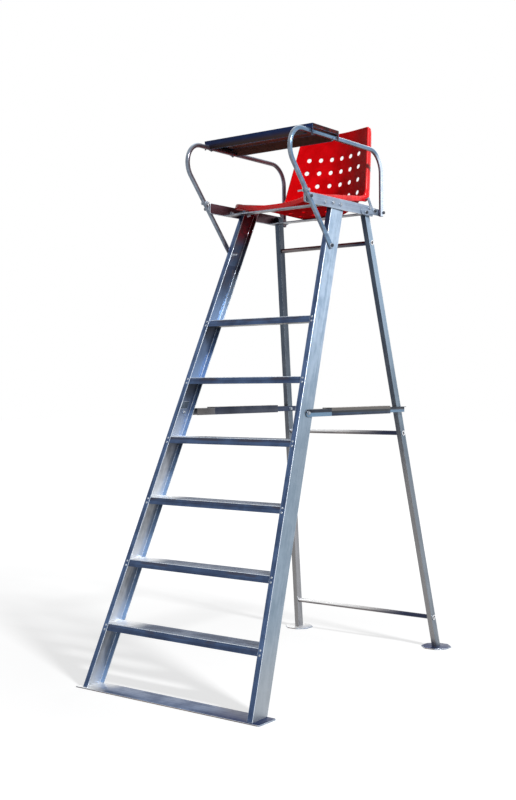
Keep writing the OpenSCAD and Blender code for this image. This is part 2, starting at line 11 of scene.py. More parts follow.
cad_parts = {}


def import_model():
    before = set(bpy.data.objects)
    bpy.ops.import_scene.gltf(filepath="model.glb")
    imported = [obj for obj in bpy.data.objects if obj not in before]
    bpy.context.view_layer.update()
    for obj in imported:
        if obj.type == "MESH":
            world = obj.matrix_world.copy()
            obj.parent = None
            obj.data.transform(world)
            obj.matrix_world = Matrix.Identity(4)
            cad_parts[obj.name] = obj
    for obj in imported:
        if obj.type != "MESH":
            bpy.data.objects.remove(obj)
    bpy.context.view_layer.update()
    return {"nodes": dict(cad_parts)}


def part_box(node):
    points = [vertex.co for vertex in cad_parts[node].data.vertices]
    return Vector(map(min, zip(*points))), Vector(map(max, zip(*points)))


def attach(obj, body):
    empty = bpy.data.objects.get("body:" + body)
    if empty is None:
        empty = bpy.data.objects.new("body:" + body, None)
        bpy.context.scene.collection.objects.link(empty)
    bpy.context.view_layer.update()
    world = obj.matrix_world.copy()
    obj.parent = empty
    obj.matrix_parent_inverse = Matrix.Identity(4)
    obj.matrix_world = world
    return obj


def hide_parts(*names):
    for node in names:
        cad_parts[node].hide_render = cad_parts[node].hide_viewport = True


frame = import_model()
MM = 0.001

# ------------ driving dimensions, mm
# They repeat the part's source. "Reach" is the distance behind the front of the stringers' feet.
BASE_MARGIN = 6
PLATE = 5
FIRST_STEP_TOP, STEP_PITCH, STEP_COUNT, STEP_HEIGHT = 248, 250, 6, 28
LADDER_FOOT_WIDTH, LADDER_TAPER, LADDER_LEAN = 858, 0.092, radians(22.5)
STRINGER_DEPTH, STRINGER_FLANGE, STRINGER_WALL = 88, 25, 3
RAIL_TOP, RAIL_HEIGHT, RAIL_THICKNESS, RAIL_LENGTH, RAIL_OVERHANG = 2006, 45, 8, 530, 214
CROSSBAR_WIDTH, CROSSBAR_THICKNESS, CROSSBAR_SETBACK = 40, 5, 97
END_PLATE_LENGTH, END_PLATE_THICKNESS = 150, 3
LEG_SETBACK, REAR_SPLAY, REAR_RAKE, LEG_WIDTH, LEG_DEPTH = 42, 0.077, 0.182, 23, 36
TOP_CLEARANCE, LEG_GAP, CROSSBAR_GAP = 8, 3, 4
STAY_HEIGHT, STAY_WALL, BRACKET_HEIGHT = 1100, 2, 30
ARM_DIAMETER, ARM_WALL, ARM_RISE, ARM_FRONT_RADIUS, ARM_REAR_RADIUS = 20, 2, 246, 84, 96
ARM_OVERHANG, ARM_SETBACK, ARM_POST_DROP, ARM_BOLT_DROP, ARM_BOLT_SETBACK = 40, 50, 40, 209, 31
ARM_LUG_LENGTH, ARM_LUG_WIDTH, ARM_LUG_THICKNESS = 52, 27, 6
TRAY_SETBACK, TRAY_DEPTH = 52, 196
SEAT_GAP, SEAT_SETBACK, PAN_LENGTH, PAN_SLOPE = 17, 114, 380, radians(3.1)
BACK_RISE, BACK_LEAN, BEND_RADIUS, BACK_NARROWING = 384, radians(9), 100, 42
SHELL, RIM_DEPTH, RIM_SWELL, RIM_CORNER_CUT = 5, 24, 8, 0.5
RISE_FRONT, RISE_SEAT, RISE_WAIST, RISE_BACK, PAN_POWER, BACK_POWER = 24, 92, 85, 40, 2.5, 1.7
FRONT_CORNER, BACK_CORNER, BACK_CORNER_DROP = 60, 15, 6
SEAT_FOOT_WIDTH, SEAT_FOOT_OFFSET = 66, 96
HOLE_DIAMETER = 21
BACK_COLUMN_PITCH, BACK_ROW_PITCH, BACK_HOLE_MARGIN, BACK_ROWS, BACK_COLUMNS = 62, 64, 120, 4, 6
PAN_COLUMN_PITCH, PAN_ROW_PITCH, PAN_HOLE_MARGIN, PAN_ROWS, PAN_COLUMNS = 70, 77, 119, 3, 4
BOLT = 8

# ------------ sizes of the trim, mm
WASHER_THICKNESS, HEX_ACROSS, HEAD_HEIGHT, NUT_HEIGHT = 1.6, 13, 5.5, 6.5
THREAD_PITCH, THREAD_DEPTH = 1.25, 0.6
RIVET_DIAMETER, RIVET_RISE, CLIP_RIVET_DIAMETER, CLIP_RIVET_RISE = 9.5, 2.4, 8, 3
FLANGE_WELD, WEB_WELD = 0.0026, 0.0032  # radii; such fine beads don't show
WEB_WELD_MARGIN, WELD_STEP, WELD_HEIGHT = 8, 1.6, 0.6
TREAD_GAP, TREAD_END_GAP, TREAD_CORNER = 0.2, 0.3, 2.0
RIB_PITCH, RIB_DEPTH, RIB_MARGIN = 9.5, 0.5, 8.0
RAIL_BOLTS = ((751, -6), (813, 0), (872, -2))  # (reach, height over the rail's middle)
BACKING_THICKNESS, BACKING_WIDTH, BACKING_LOW, BACKING_HIGH = 3, 46, 14, 46
ARM_FLAT_END, ARM_ROUND_START, ARM_END_HOLE = -12, 58, 30
CLIP_THICKNESS, CLIP_WIDTH, CLIP_MARGIN = 1.8, 16, 24
RIM_ROLL, RIM_ROLL_SIDE, RIM_ROLL_BEND, RIM_ROLL_FADE = 6, 3, 3, 40
RIM_WALL, HOLE_LIP, HOLE_UNDER_LIP = 4.5, 1.6, 0.8
SEAT_FOOT_DRAFT = 1.5

# ------------ derived places, mm
FEET_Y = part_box("front_base_plate")[0].y / MM + BASE_MARGIN
LEAN_SLOPE = tan(LADDER_LEAN)
DEPTH_LEVEL = STRINGER_DEPTH / cos(LADDER_LEAN)
RAIL_BOTTOM = RAIL_TOP - RAIL_HEIGHT
RAIL_MIDDLE = (RAIL_TOP + RAIL_BOTTOM) / 2


def stringer_front(z):
    return LEAN_SLOPE * z


def stringer_side(z):
    return LADDER_FOOT_WIDTH / 2 - LADDER_TAPER * z


RAIL_INNER = stringer_side(RAIL_MIDDLE)
RAIL_OUTER = RAIL_INNER + RAIL_THICKNESS
RAIL_FRONT = stringer_front(RAIL_MIDDLE) - RAIL_OVERHANG
RAIL_REAR = RAIL_FRONT + RAIL_LENGTH
LEG_TOP = RAIL_TOP - TOP_CLEARANCE


def leg_outer(z):
    """How far out the outer faces of the rear legs are; it also takes a node's z, in mm."""
    return (RAIL_INNER - LEG_GAP + REAR_SPLAY * LEG_TOP) - z * REAR_SPLAY


def leg_reach(z):
    return RAIL_REAR - LEG_SETBACK + REAR_RAKE * (LEG_TOP - z)


ARM_PLANE = RAIL_OUTER + END_PLATE_THICKNESS + ARM_DIAMETER / 2
ARM_HEIGHT = RAIL_TOP + ARM_RISE
ARM_FRONT = RAIL_FRONT - ARM_OVERHANG
ARM_REAR = RAIL_REAR + ARM_SETBACK
ARM_BOLT_HEIGHT = RAIL_TOP - ARM_BOLT_DROP
ARM_BOLT_REACH = stringer_front(ARM_BOLT_HEIGHT) + ARM_BOLT_SETBACK
ARM_LUG_INNER = stringer_side(ARM_BOLT_HEIGHT - ARM_LUG_WIDTH / 2)
TRAY_FRONT = ARM_FRONT + TRAY_SETBACK


def at(x, reach, z):
    """A point given in millimetres, in the chair's own frame in metres."""
    return Vector((x * MM, (FEET_Y + reach) * MM, z * MM))


def blend(a, b, t):
    return a + (b - a) * t


def ease(t):
    """0 to 1 smoothly as t goes from 0 to 1, and level beyond."""
    t = min(1.0, max(0.0, t))
    return t * t * (3 - 2 * t)


# ------------ node trees
def srgb(r, g, b):
    """A colour as it shows on screen, 0 to 255, as the linear colour that nodes take."""
    linear = [c / 12.92 if c <= 0.04045 else ((c + 0.055) / 1.055) ** 2.4
              for c in (r / 255, g / 255, b / 255)]
    return (*linear, 1)


def operator(name, swapped=False):
    def apply(self, other):
        return self.shader.math(name, *((other, self) if swapped else (self, other)))
    return apply


class Value:
    """What a node gives; it takes part in sums as a plain number does."""

    __add__ = __radd__ = operator("ADD")
    __mul__ = __rmul__ = operator("MULTIPLY")
    __truediv__ = operator("DIVIDE")
    __sub__ = operator("SUBTRACT")
    __rsub__ = operator("SUBTRACT", swapped=True)

    def __init__(self, shader, socket):
        self.shader, self.socket = shader, socket

    def smooth(self, low, high, start=0.0, end=1.0):
        """This value taken from low..high to start..end, smoothly."""
        return self.shader.node("MapRange", {"interpolation_type": "SMOOTHSTEP"},
                                i0=self, i1=low, i2=high, i3=start, i4=end)


class Shader:
    """The node tree of a material or a world, and a few short ways to add nodes to it."""

    def __init__(self, owner):
        owner.use_nodes = True
        self.owner, self.tree = owner, owner.node_tree

    def feed(self, socket, value):
        if isinstance(value, Value):
            self.tree.links.new(value.socket, socket)
        else:
            socket.default_value = value

    def node(self, kind, settings=(), output=0, **inputs):
        """What a new node gives. Its inputs go by name, or by number as i0, i1 and so on."""
        made = self.tree.nodes.new("ShaderNode" + kind)
        for key, value in dict(settings).items():
            setattr(made, key, value)
        for key, value in inputs.items():
            self.feed(made.inputs[int(key[1:]) if key[0] == "i" else key], value)
        return Value(self, made.outputs[output])

    def math(self, operation, a, b=0.0):
        return self.node("Math", {"operation": operation}, i0=a, i1=b)

    def mix(self, share, a, b):
        """a where the share is 0, b where it is 1. Plain colours go as they show on screen."""
        a, b = (colour if isinstance(colour, Value) else srgb(*colour) for colour in (a, b))
        return self.node("Mix", {"data_type": "RGBA"}, 2, i0=share, i6=a, i7=b)

    def parts(self, vector):
        separate = self.node("SeparateXYZ", i0=vector).socket.node
        return [Value(self, socket) for socket in separate.outputs]


class Surface(Shader):
    """A material. It knows where a point is (x, y, z, and vector without the sign of x), which way it
    faces (outward, whose x is positive away from the chair's middle) and its colour so far."""

    def __init__(self, name):
        super().__init__(bpy.data.materials.new(name))
        self.bsdf, self.colour = self.tree.nodes["Principled BSDF"], None
        self.x, self.y, self.z = self.parts(self.node("TexCoord", output="Object"))
        self.vector = self.node("CombineXYZ", i0=self.math("ABSOLUTE", self.x), i1=self.y, i2=self.z)
        x, y, z = self.parts(self.node("NewGeometry", output="Normal"))
        self.outward = self.node("CombineXYZ", i0=x * self.math("SIGN", self.x), i1=y, i2=z)

    def facing(self, direction, low=0.6, high=0.9):
        """1 where the surface faces a direction, 0 where it faces elsewhere."""
        return self.node("VectorMath", {"operation": "DOT_PRODUCT"}, "Value", i0=self.outward,
                         i1=Vector(direction).normalized()).smooth(low, high)

    def noise(self, scale, detail=4.0, roughness=0.55, vector=None):
        return self.node("TexNoise", Vector=vector or self.vector, Scale=scale, Detail=detail,
                         Roughness=roughness)

    def streaks(self, turn, stretch, detail=3.0, roughness=0.55):
        """Noise stretched along a piece, whose length becomes z by a turn."""
        turned = self.node("Mapping", Vector=self.vector, Rotation=turn)
        return self.noise(1.0, detail, roughness, self.node("Mapping", Vector=turned, Scale=stretch))

    def tint(self, share, colour):
        self.colour = self.mix(share, self.colour, colour)

    def bump(self, height, strength, distance):
        made = self.node("Bump", Height=height, Strength=strength, Distance=distance)
        self.feed(self.bsdf.inputs["Normal"], made)

    def finish(self, roughness, **constants):
        self.feed(self.bsdf.inputs["Base Color"], self.colour)
        self.feed(self.bsdf.inputs["Roughness"], roughness)
        for name, value in constants.items():
            self.bsdf.inputs[name.replace("_", " ")].default_value = value
        return self.owner


# ------------ materials
# Colours are as they show on screen, 0 to 255; places in them are in metres.
GRAIN_LEAN = (LADDER_LEAN, 0, 0)
GRAIN_ACROSS = (0, radians(90), 0)
GRAIN_ALONG = (radians(90), 0, 0)
GRAIN_LEG = (-atan(REAR_RAKE), 0, 0)
FRONT_FACE = (0, -cos(LADDER_LEAN), sin(LADDER_LEAN))
UP, DOWN, OUT, INWARD, FRONT, BACK = (0, 0, 1), (0, 0, -1), (1, 0, 0), (-1, 0, 0), (0, -1, 0), (0, 1, 0)
WHITE = (255, 255, 255)


def aluminium(name, light, dark, grain, shade, faces, rough=(0.3, 0.46)):
    """Mill-finish aluminium: die lines along the grain, cloudy oxide, scratches. shade(surface) adds
    what changes with the place, mostly painted light; faces are (direction, colour where clean, colour
    where dull), the painted light and reflection of each side by the way it faces."""
    s = Surface(name)
    lines = s.streaks(grain, (420, 420, 2.2))
    wide = s.streaks(grain, (70, 70, 1.3), 2.0)
    cloud = s.noise(11.0, 5.0, 0.6)
    speck = s.noise(240.0, 3.0, 0.7)
    wear = lines * 0.45 + wide * 0.55
    dull = (wear * 0.55 + cloud * 0.45).smooth(0.38, 0.62)
    s.colour = s.mix(dull, light, dark)
    # Painted light: each side's colour stands for the light and reflection it takes.
    for direction, clean, tarnished in faces:
        s.tint(s.facing(direction), s.mix(dull, clean, tarnished))
    shade(s)
    s.tint(speck.smooth(0.68, 0.82, 0.0, 0.3), (70, 78, 90))
    s.bump(lines * 0.7 + speck * 0.3, 0.2, 0.0004)
    return s.finish(dull.smooth(0.0, 1.0, *rough), Metallic=0.7)


def bays(s):
    """Painted light on the stringers. Between two steps the inside has a painted reflection, bright above
    the lower step, and a painted shadow under the upper one; towards the top it takes a painted blue
    shade, then darker painted shade, and near the seat a painted red reflection of it. The rear flange
    takes painted pale blue light; the outer side's painted reflection darkens lower down and pales at the
    foot."""
    outer, web, high = s.facing(OUT), s.facing(INWARD), s.z.smooth(0.75, 1.25)
    # Painted reflection on the outer side: darker lower down, paler at the foot.
    s.tint(outer * s.z.smooth(0.9, 1.6, 0.75, 0.0), (116, 132, 146))
    s.tint(outer * s.z.smooth(0.05, 0.4, 0.6, 0.0), (176, 180, 184))
    back = s.y - FEET_Y * MM - s.z * LEAN_SLOPE
    middle = (STRINGER_DEPTH * 0.4 * MM, STRINGER_DEPTH * 0.6 * MM)
    rear_flange = s.facing(FRONT_FACE) * back.smooth(*middle)
    # Painted blue shade on the inner web, growing towards the top.
    s.tint(web * high * 0.9, (70, 92, 126))
    patch = s.noise(24.0, 4.0, 0.65)
    edge = s.math("FRACT", (s.z - FIRST_STEP_TOP * MM) / (STEP_PITCH * MM)) + patch * 0.3
    # Painted reflection, bright just above each step.
    s.tint(web * edge.smooth(0.12, 0.8, 0.75, 0.0), s.mix(high, (216, 220, 226), (124, 150, 188)))
    # Painted shadow under each step.
    shaded = edge.smooth(0.66, 1.0) * (high * 0.55 + 0.3)
    s.tint(web * shaded, (40, 42, 50))
    # Painted light on the rear flange, with painted shadow under each step.
    lit = s.mix(s.z.smooth(1.4, 1.55), (152, 186, 230), (216, 238, 255))
    s.tint(rear_flange, s.mix(edge.smooth(0.9, 1.15), lit, (60, 70, 90)))
    inner = s.math("MAXIMUM", web, rear_flange)
    # Painted shade high up on the inside.
    painted_upper_shade = s.mix(patch.smooth(0.42, 0.58), (50, 64, 92), (82, 78, 92))
    s.tint(inner * s.z.smooth(1.62, 1.74, 0.0, 0.8), painted_upper_shade)
    # Painted reflection of the red seat.
    reflected = s.mix(patch.smooth(0.4, 0.62), (128, 16, 28), (78, 16, 28))
    s.tint(inner * s.z.smooth(1.83, 1.9, 0.0, 0.9), reflected)


# Painted reflection by side: pale blue outer sides, grey inner sides, navy fronts.
STRINGER = aluminium("stringer_metal", (140, 154, 172), (104, 114, 130), GRAIN_LEAN, bays, (
    (OUT, (186, 208, 232), (142, 166, 192)),
    (INWARD, (164, 166, 170), (128, 132, 138)),
    (FRONT_FACE, (84, 108, 148), (52, 70, 102))))


def bands(s):
    """The front is darker in blotches over its upper part; the left end of each top is painted white, a
    painted glare.
    """
    height = s.math("FRACT", (s.z - (FIRST_STEP_TOP - STEP_HEIGHT) * MM) / (STEP_PITCH * MM))
    patch = s.streaks(GRAIN_ACROSS, (30, 30, 9))
    upper_blotches = height.smooth(0.05, 0.07) * patch.smooth(0.42, 0.6)
    s.tint(s.facing(FRONT_FACE) * upper_blotches * 0.7, (62, 58, 68))
    across = s.x / (LADDER_FOOT_WIDTH / 2 * MM - s.z * LADDER_TAPER) + patch * 0.12
    # Painted glare: white at the left end of each top.
    s.tint(s.facing(UP) * across.smooth(-0.72, -0.42, 1.0, 0.0), WHITE)


# Painted light by side: blue tops, navy fronts, grey undersides.
TREAD = aluminium("tread_metal", (112, 126, 150), (76, 88, 110), GRAIN_ACROSS, bands, (
    (UP, (90, 108, 136), (60, 76, 104)),
    (FRONT_FACE, (70, 92, 128), (44, 58, 86)),
    (DOWN, (110, 112, 114), (78, 80, 86))))


def glare_and_shadow(s):
    """Painted light on the base plate's top: a painted shadow darkens the right end and a painted white glare
    covers the left end.
    """
    across = s.x + s.noise(9.0, 4.0, 0.6) * 0.14
    above = s.facing(UP)
    # Painted shadow at the right end.
    s.tint(above * across.smooth(0.2, 0.36, 0.0, 0.95), (18, 40, 88))
    # Painted glare at the left end.
    s.tint(above * across.smooth(-0.32, -0.2, 1.0, 0.0), WHITE)


# Painted reflection by side: a blue top and a brownish front.
BASE = aluminium("plate_metal", (140, 156, 178), (100, 116, 140), GRAIN_ACROSS, glare_and_shadow, (
    (UP, (86, 110, 150), (56, 78, 114)),
    (FRONT, (150, 128, 112), (110, 96, 92))))


def fading(s):
    """Painted reflection: each side fades in its own way between the foot and the top."""
    for direction, top, foot in ((FRONT, (58, 72, 90), (152, 150, 150)),
                                 (OUT, (158, 182, 206), (122, 130, 140)),
                                 (INWARD, (58, 66, 80), (160, 160, 164))):
        side = s.facing(direction)
        s.tint(side * s.z.smooth(0.9, 1.75, 0.0, 0.8), top)
        s.tint(side * s.z.smooth(0.7, 1.1, 0.8, 0.0), foot)


# Painted reflection by side: paler outer sides, darker fronts.
LEG = aluminium("leg_metal", (110, 116, 124), (80, 86, 98), GRAIN_LEG, fading, (
    (OUT, (122, 142, 158), (88, 104, 120)),
    (INWARD, (104, 118, 132), (72, 84, 98)),
    (FRONT, (96, 100, 106), (64, 70, 82))), rough=(0.26, 0.4))


def ends(s):
    """A painted highlight along the top at the left and painted shade towards the right; the top tie takes
    a painted red reflection of the seat on its top. The flared ends, beyond the legs, are near white."""
    low = s.z.smooth(1.2, 1.5, 1.0, 0.0)
    # Painted shade towards the right.
    s.tint(s.x.smooth(0.02, 0.24, 0.0, 0.95), (30, 40, 70))
    # Painted highlight along the top at the left.
    lit = s.facing(UP, -0.3, 0.4) * s.x.smooth(-0.2, 0.25, 1.0, 0.0)
    s.tint(lit * low, WHITE)
    # Painted red reflection of the seat on the top tie.
    s.tint(s.facing(UP, 0.0, 0.5) * (1 - low), (104, 34, 44))
    past = s.math("ABSOLUTE", s.x) / MM - leg_outer(s.z / MM)
    s.tint(past.smooth(0.0, 0.5), (250, 252, 255))


# Painted reflection: a paler underside.
TIE = aluminium("tie_metal", (146, 138, 136), (96, 92, 96), GRAIN_ACROSS, ends, (
    (DOWN, (172, 162, 158), (124, 118, 118)),), rough=(0.24, 0.38))


def stay_halves(s):
    """The lower half of the outer side leans out and takes a paler painted reflection; towards the front the
    inner side takes paler painted light.
    """
    lower = s.z.smooth((STAY_HEIGHT - 1) * MM, (STAY_HEIGHT + 3) * MM, 1.0, 0.0)
    s.tint(s.facing(OUT, 0.5, 0.7) * lower * 0.85, (112, 146, 176))
    forward = s.y.smooth(-0.22, 0.12, 0.75, 0.0)
    s.tint(s.facing(INWARD, 0.4, 0.7) * forward, (126, 122, 118))


# Painted light by side: a pale top, dark painted shade on the outer side, a dark blue inner side.
STAY = aluminium("stay_metal", (84, 90, 102), (50, 58, 74), GRAIN_ALONG, stay_halves, (
    (UP, (158, 156, 156), (118, 118, 124)),
    (OUT, (46, 54, 68), (24, 32, 46)),
    (INWARD, (48, 62, 90), (34, 44, 66))))


def sleeve_halves(s):
    """The upper half of the outer side is paler, a painted highlight, over a dark line of painted shade."""
    outer = s.facing(OUT, 0.5, 0.7)
    dust_and_highlight = s.z.smooth((STAY_HEIGHT + 3) * MM, (STAY_HEIGHT + 8) * MM)
    line = s.z.smooth((STAY_HEIGHT - 4) * MM, (STAY_HEIGHT - 1) * MM) * (1 - dust_and_highlight)
    s.tint(outer * dust_and_highlight, (106, 103, 101))
    s.tint(outer * line, (46, 52, 58))


# Painted light by side: a pale top, a navy outer side.
SLEEVE = aluminium("sleeve_metal", (84, 90, 102), (50, 58, 74), GRAIN_ALONG, sleeve_halves, (
    (UP, (188, 182, 178), (146, 142, 142)),
    (OUT, (44, 66, 94), (26, 40, 62)),
    (INWARD, (66, 72, 88), (38, 46, 64))))


def red_side(s):
    """Painted reflection: the side that faces the seat takes a little of its red."""
    s.tint(s.facing(INWARD) * 0.3, (112, 30, 36))


# Painted light by side: a pale top, a pale blue outer side, dark painted shade underneath and on the inner
# side.
RAIL = aluminium("rail_metal", (146, 156, 170), (108, 118, 132), GRAIN_ALONG, red_side, (
    (OUT, (166, 184, 206), (126, 142, 164)),
    (INWARD, (92, 84, 94), (58, 54, 66)),
    (UP, (196, 204, 214), (152, 160, 172)),
    (DOWN, (88, 84, 90), (58, 56, 64))))


def post(s):
    """The post is brightest, a painted highlight; on the side that faces the seat it takes a painted
    reflection of the seat.
    """
    at_post = s.y.smooth((FEET_Y + ARM_REAR - 60) * MM, (FEET_Y + ARM_REAR - 20) * MM)
    s.tint(s.facing(OUT, 0.0, 0.6) * at_post, (214, 228, 246))
    s.tint(s.facing((-0.8, -0.6, 0), 0.1, 0.6) * at_post * 0.75, (92, 66, 80))


# Painted light by side: a near white painted highlight on top, pale blue outer sides, dark painted shade
# underneath.
ARM = aluminium("arm_metal", (138, 150, 164), (100, 110, 124), GRAIN_ALONG, post, (
    (OUT, (120, 152, 184), (84, 110, 138)),
    (UP, (226, 240, 254), (160, 186, 212)),
    (DOWN, (96, 70, 70), (66, 54, 62)),
    (INWARD, (104, 98, 106), (76, 74, 84))), rough=(0.18, 0.3))


def speckled(name, scale, clean, dull, limits, rough, relief, metallic, detail=3.0, roughness=0.6):
    """A small bare part: one fine speckle gives its colour, its gloss and its relief."""
    s = Surface(name)
    speck = s.noise(scale, detail, roughness)
    s.bump(speck, relief, 0.0003)
    s.colour = s.mix(speck.smooth(*limits), clean, dull)
    return s.finish(speck.smooth(0.3, 0.7, *rough), Metallic=metallic)


def weld_metal():
    """Rippled beads with soot in patches."""
    s = Surface("weld_metal")
    ripple = s.noise(420.0, 4.0, 0.7)
    soot = s.noise(60.0, 3.0, 0.6)
    s.bump(ripple, 0.6, 0.0006)
    s.colour = s.mix(soot.smooth(0.4, 0.7), (228, 234, 240), (150, 158, 168))
    return s.finish(ripple.smooth(0.3, 0.7, 0.35, 0.6), Metallic=0.55)


def tray_paint():
    """Dark paint on sheet metal: orange peel, dust, fine scratches. Its sides take painted reflections:
    navy on the front flange over a brown lower part, brown underneath, at the back and inside the front,
    and red from the seat on the outer sides.
    """
    s = Surface("tray_paint")
    peel = s.noise(380.0, 2.0, 0.5)
    dust = s.noise(36.0, 6.0, 0.65)
    lines = s.streaks(GRAIN_ACROSS, (520, 520, 5))
    dust_and_highlight = dust.smooth(0.4, 0.75)
    brown = s.mix(dust_and_highlight, (128, 88, 78), (96, 66, 60))
    blue = s.mix(dust_and_highlight, (22, 44, 92), (40, 60, 104))
    front = s.mix(s.z.smooth((ARM_HEIGHT - 6) * MM, (ARM_HEIGHT + 22) * MM), (66, 50, 48), blue)
    inside = s.y.smooth((FEET_Y + TRAY_FRONT + 8) * MM, (FEET_Y + TRAY_FRONT + 14) * MM)
    s.colour = s.mix(dust_and_highlight, (18, 18, 22), (38, 38, 42))
    # Painted reflections by the way each side faces.
    for direction, tint in ((FRONT, s.mix(inside, front, brown)), (DOWN, brown),
                            (BACK, s.mix(dust_and_highlight, (78, 56, 54), (50, 38, 38))),
                            (OUT, s.mix(dust.smooth(0.3, 0.6), (96, 14, 18), (26, 10, 12)))):
        s.tint(s.facing(direction), tint)
    s.bump(peel + lines * 0.4, 0.18, 0.0004)
    return s.finish(dust.smooth(0.3, 0.8, 0.3, 0.5), Specular_IOR_Level=0.12)


def moulded_red(name, rough, **constants):
    """Moulded red plastic: a fine grain, softer and paler where it is rubbed."""
    s = Surface(name)
    grain = s.noise(900.0, 2.0, 0.5)
    flow = s.noise(14.0, 4.0, 0.55)
    scuff = s.streaks((0.6, 0.3, 0), (90, 90, 14), 4.0, 0.7)
    s.colour = s.mix(flow.smooth(0.35, 0.65), (232, 8, 18), (206, 3, 10))
    s.tint(scuff.smooth(0.62, 0.8, 0.0, 0.08), (236, 44, 48))
    s.bump(grain * 0.5 + flow * 0.5, 0.1, 0.0006)
    return s.finish(scuff.smooth(0.3, 0.75, rough, rough + 0.12), **constants)


# Corners that handling keeps bright, painted near white: worn metal and a painted highlight along the rounded
# edges.
EDGE = speckled("bright_edge", 160.0, (228, 236, 246), (168, 184, 204), (0.4, 0.7), (0.22, 0.4), 0.2, 0.7)
# Zinc-plated bolts, nuts and rivets.
FASTENER = speckled("fastener_metal", 300.0, (196, 204, 214), (128, 136, 148), (0.35, 0.65),
                    (0.25, 0.45), 0.25, 0.85)
# Oily black bolt heads.
DARK_FASTENER = speckled("dark_fastener_metal", 260.0, (54, 62, 74), (24, 28, 36), (0.35, 0.65),
                         (0.3, 0.5), 0.25, 0.6)
WELD = weld_metal()
PAINT = tray_paint()
# Raw metal along the tray's folds and cut edges, coloured as a painted blue highlight.
PAINT_EDGE = speckled("paint_edge_wear_and_highlight", 120.0, (72, 100, 144), (16, 24, 42), (0.42, 0.62), (0.3, 0.5),
                      0.3, 0.4, detail=4.0, roughness=0.7)
RED = moulded_red("seat_plastic_face", 0.24, Specular_IOR_Level=0.05)
# The rim, polished by hands.
RED_RIM = moulded_red("seat_plastic_rim", 0.22, Specular_IOR_Level=0.15, Coat_Weight=0.45,
                      Coat_Roughness=0.2)
RED_UNDER = moulded_red("seat_plastic_underside", 0.7, Specular_IOR_Level=0.02)


# ------------ mesh helpers
def in_scene(name, data):
    obj = bpy.data.objects.new(name, data)
    bpy.context.scene.collection.objects.link(obj)
    return obj


def add_piece(name, bm, materials, nodes=(), sharp=35):
    """Makes an object of a bmesh and puts it in the scene as a piece of the chair."""
    bmesh.ops.recalc_face_normals(bm, faces=bm.faces)
    mesh = bpy.data.meshes.new(name)
    bm.to_mesh(mesh)
    bm.free()
    mesh.shade_smooth()
    if sharp:
        mesh.set_sharp_from_angle(angle=radians(sharp))
    for material in materials:
        mesh.materials.append(material)
    obj = in_scene(name, mesh)
    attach(obj, "root")
    if nodes:
        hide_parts(*nodes)
    return obj


def round_edges(obj, radius, edge_material):
    bevel = obj.modifiers.new("rounded_edges", "BEVEL")
    bevel.width = radius * MM
    bevel.segments = 3
    bevel.limit_method = "ANGLE"
    bevel.angle_limit = radians(35)
    bevel.harden_normals = True
    bevel.material = edge_material


def worked(node, material, radius, edge=None):
    """A copy of a CAD node's shape with rounded edges, which take the edge material, a painted highlight,
    when one is given; it stands for the node.
    """
    bm = bmesh.new()
    bm.from_mesh(frame["nodes"][node].data)
    bmesh.ops.remove_doubles(bm, verts=bm.verts, dist=0.01 * MM)
    bmesh.ops.dissolve_limit(bm, angle_limit=radians(1), verts=bm.verts, edges=bm.edges)
    for face in bm.faces:
        face.material_index = 0
    obj = add_piece(node + "_finished", bm, [material, edge or EDGE], [node], sharp=0)
    round_edges(obj, radius, 1 if edge else -1)


def join(bm, rings, material=0):
    """Faces between each ring of vertices and the next."""
    for a, b in zip(rings, rings[1:]):
        for k in range(len(a)):
            face = bm.faces.new((a[k], a[(k + 1) % len(a)], b[(k + 1) % len(b)], b[k]))
            face.material_index = material


def rings_of(bm, loops):
    return [[bm.verts.new(p) for p in loop] for loop in loops]


def skin(bm, loops, material=0):
    """Joins loops of points, each to the next, and closes the ends."""
    rings = rings_of(bm, loops)
    join(bm, rings, material)
    for ring in (rings[0], rings[-1]):
        bm.faces.new(ring).material_index = material


def stand(point, axis):
    """A frame at a point with its z along an axis."""
    return Matrix.Translation(point) @ Vector(axis).to_track_quat("Z", "Y").to_matrix().to_4x4()


def ring(radius, sides, turn=0.0):
    return [(cos(a) * radius, sin(a) * radius)
            for a in (turn + tau * k / sides for k in range(sides))]


def lathe(bm, matrix, profile, sides=20, turn=0.0, material=0):
    """A turned shape: profile is (radius, height) pairs in mm."""
    skin(bm, [[matrix @ (Vector((x, y, height)) * MM) for x, y in ring(radius, sides, turn)]
              for radius, height in profile], material)


def washer(bm, matrix, diameter, thickness=WASHER_THICKNESS):
    r = diameter / 2
    lathe(bm, matrix, [(r - 0.3, 0), (r, 0.3), (r, thickness - 0.4), (r - 0.4, thickness)], 28)


def hexagon(bm, matrix, height, turn, material=0):
    """A hexagon with chamfered corners on a washer."""
    r, low, high = HEX_ACROSS / sqrt(3), WASHER_THICKNESS, WASHER_THICKNESS + height
    lathe(bm, matrix, [(r * 0.97, low), (r, low + 0.4), (r, high - 1.0), (r * 0.86, high)], 6, turn, material)


def bolt(bm, point, axis, wide=17, turn=0.4, material=0):
    """A hexagon bolt head on a washer that is so wide."""
    m = stand(point, axis)
    washer(bm, m, wide)
    hexagon(bm, m, HEAD_HEIGHT, turn, material)


def nut(bm, point, axis, stub=6, wide=17):
    """A nut on a washer with the bolt's threaded end coming out of it."""
    m = stand(point, axis)
    washer(bm, m, wide)
    hexagon(bm, m, NUT_HEIGHT, 0.1)
    crests = []
    for k in range(int(stub / THREAD_PITCH) + 1):
        low = WASHER_THICKNESS + NUT_HEIGHT + THREAD_PITCH * k
        crests += [(BOLT / 2 - THREAD_DEPTH, low), (BOLT / 2, low + THREAD_DEPTH)]
    lathe(bm, m, crests + [(BOLT / 2 - 2 * THREAD_DEPTH, crests[-1][1] + THREAD_DEPTH)], 14)


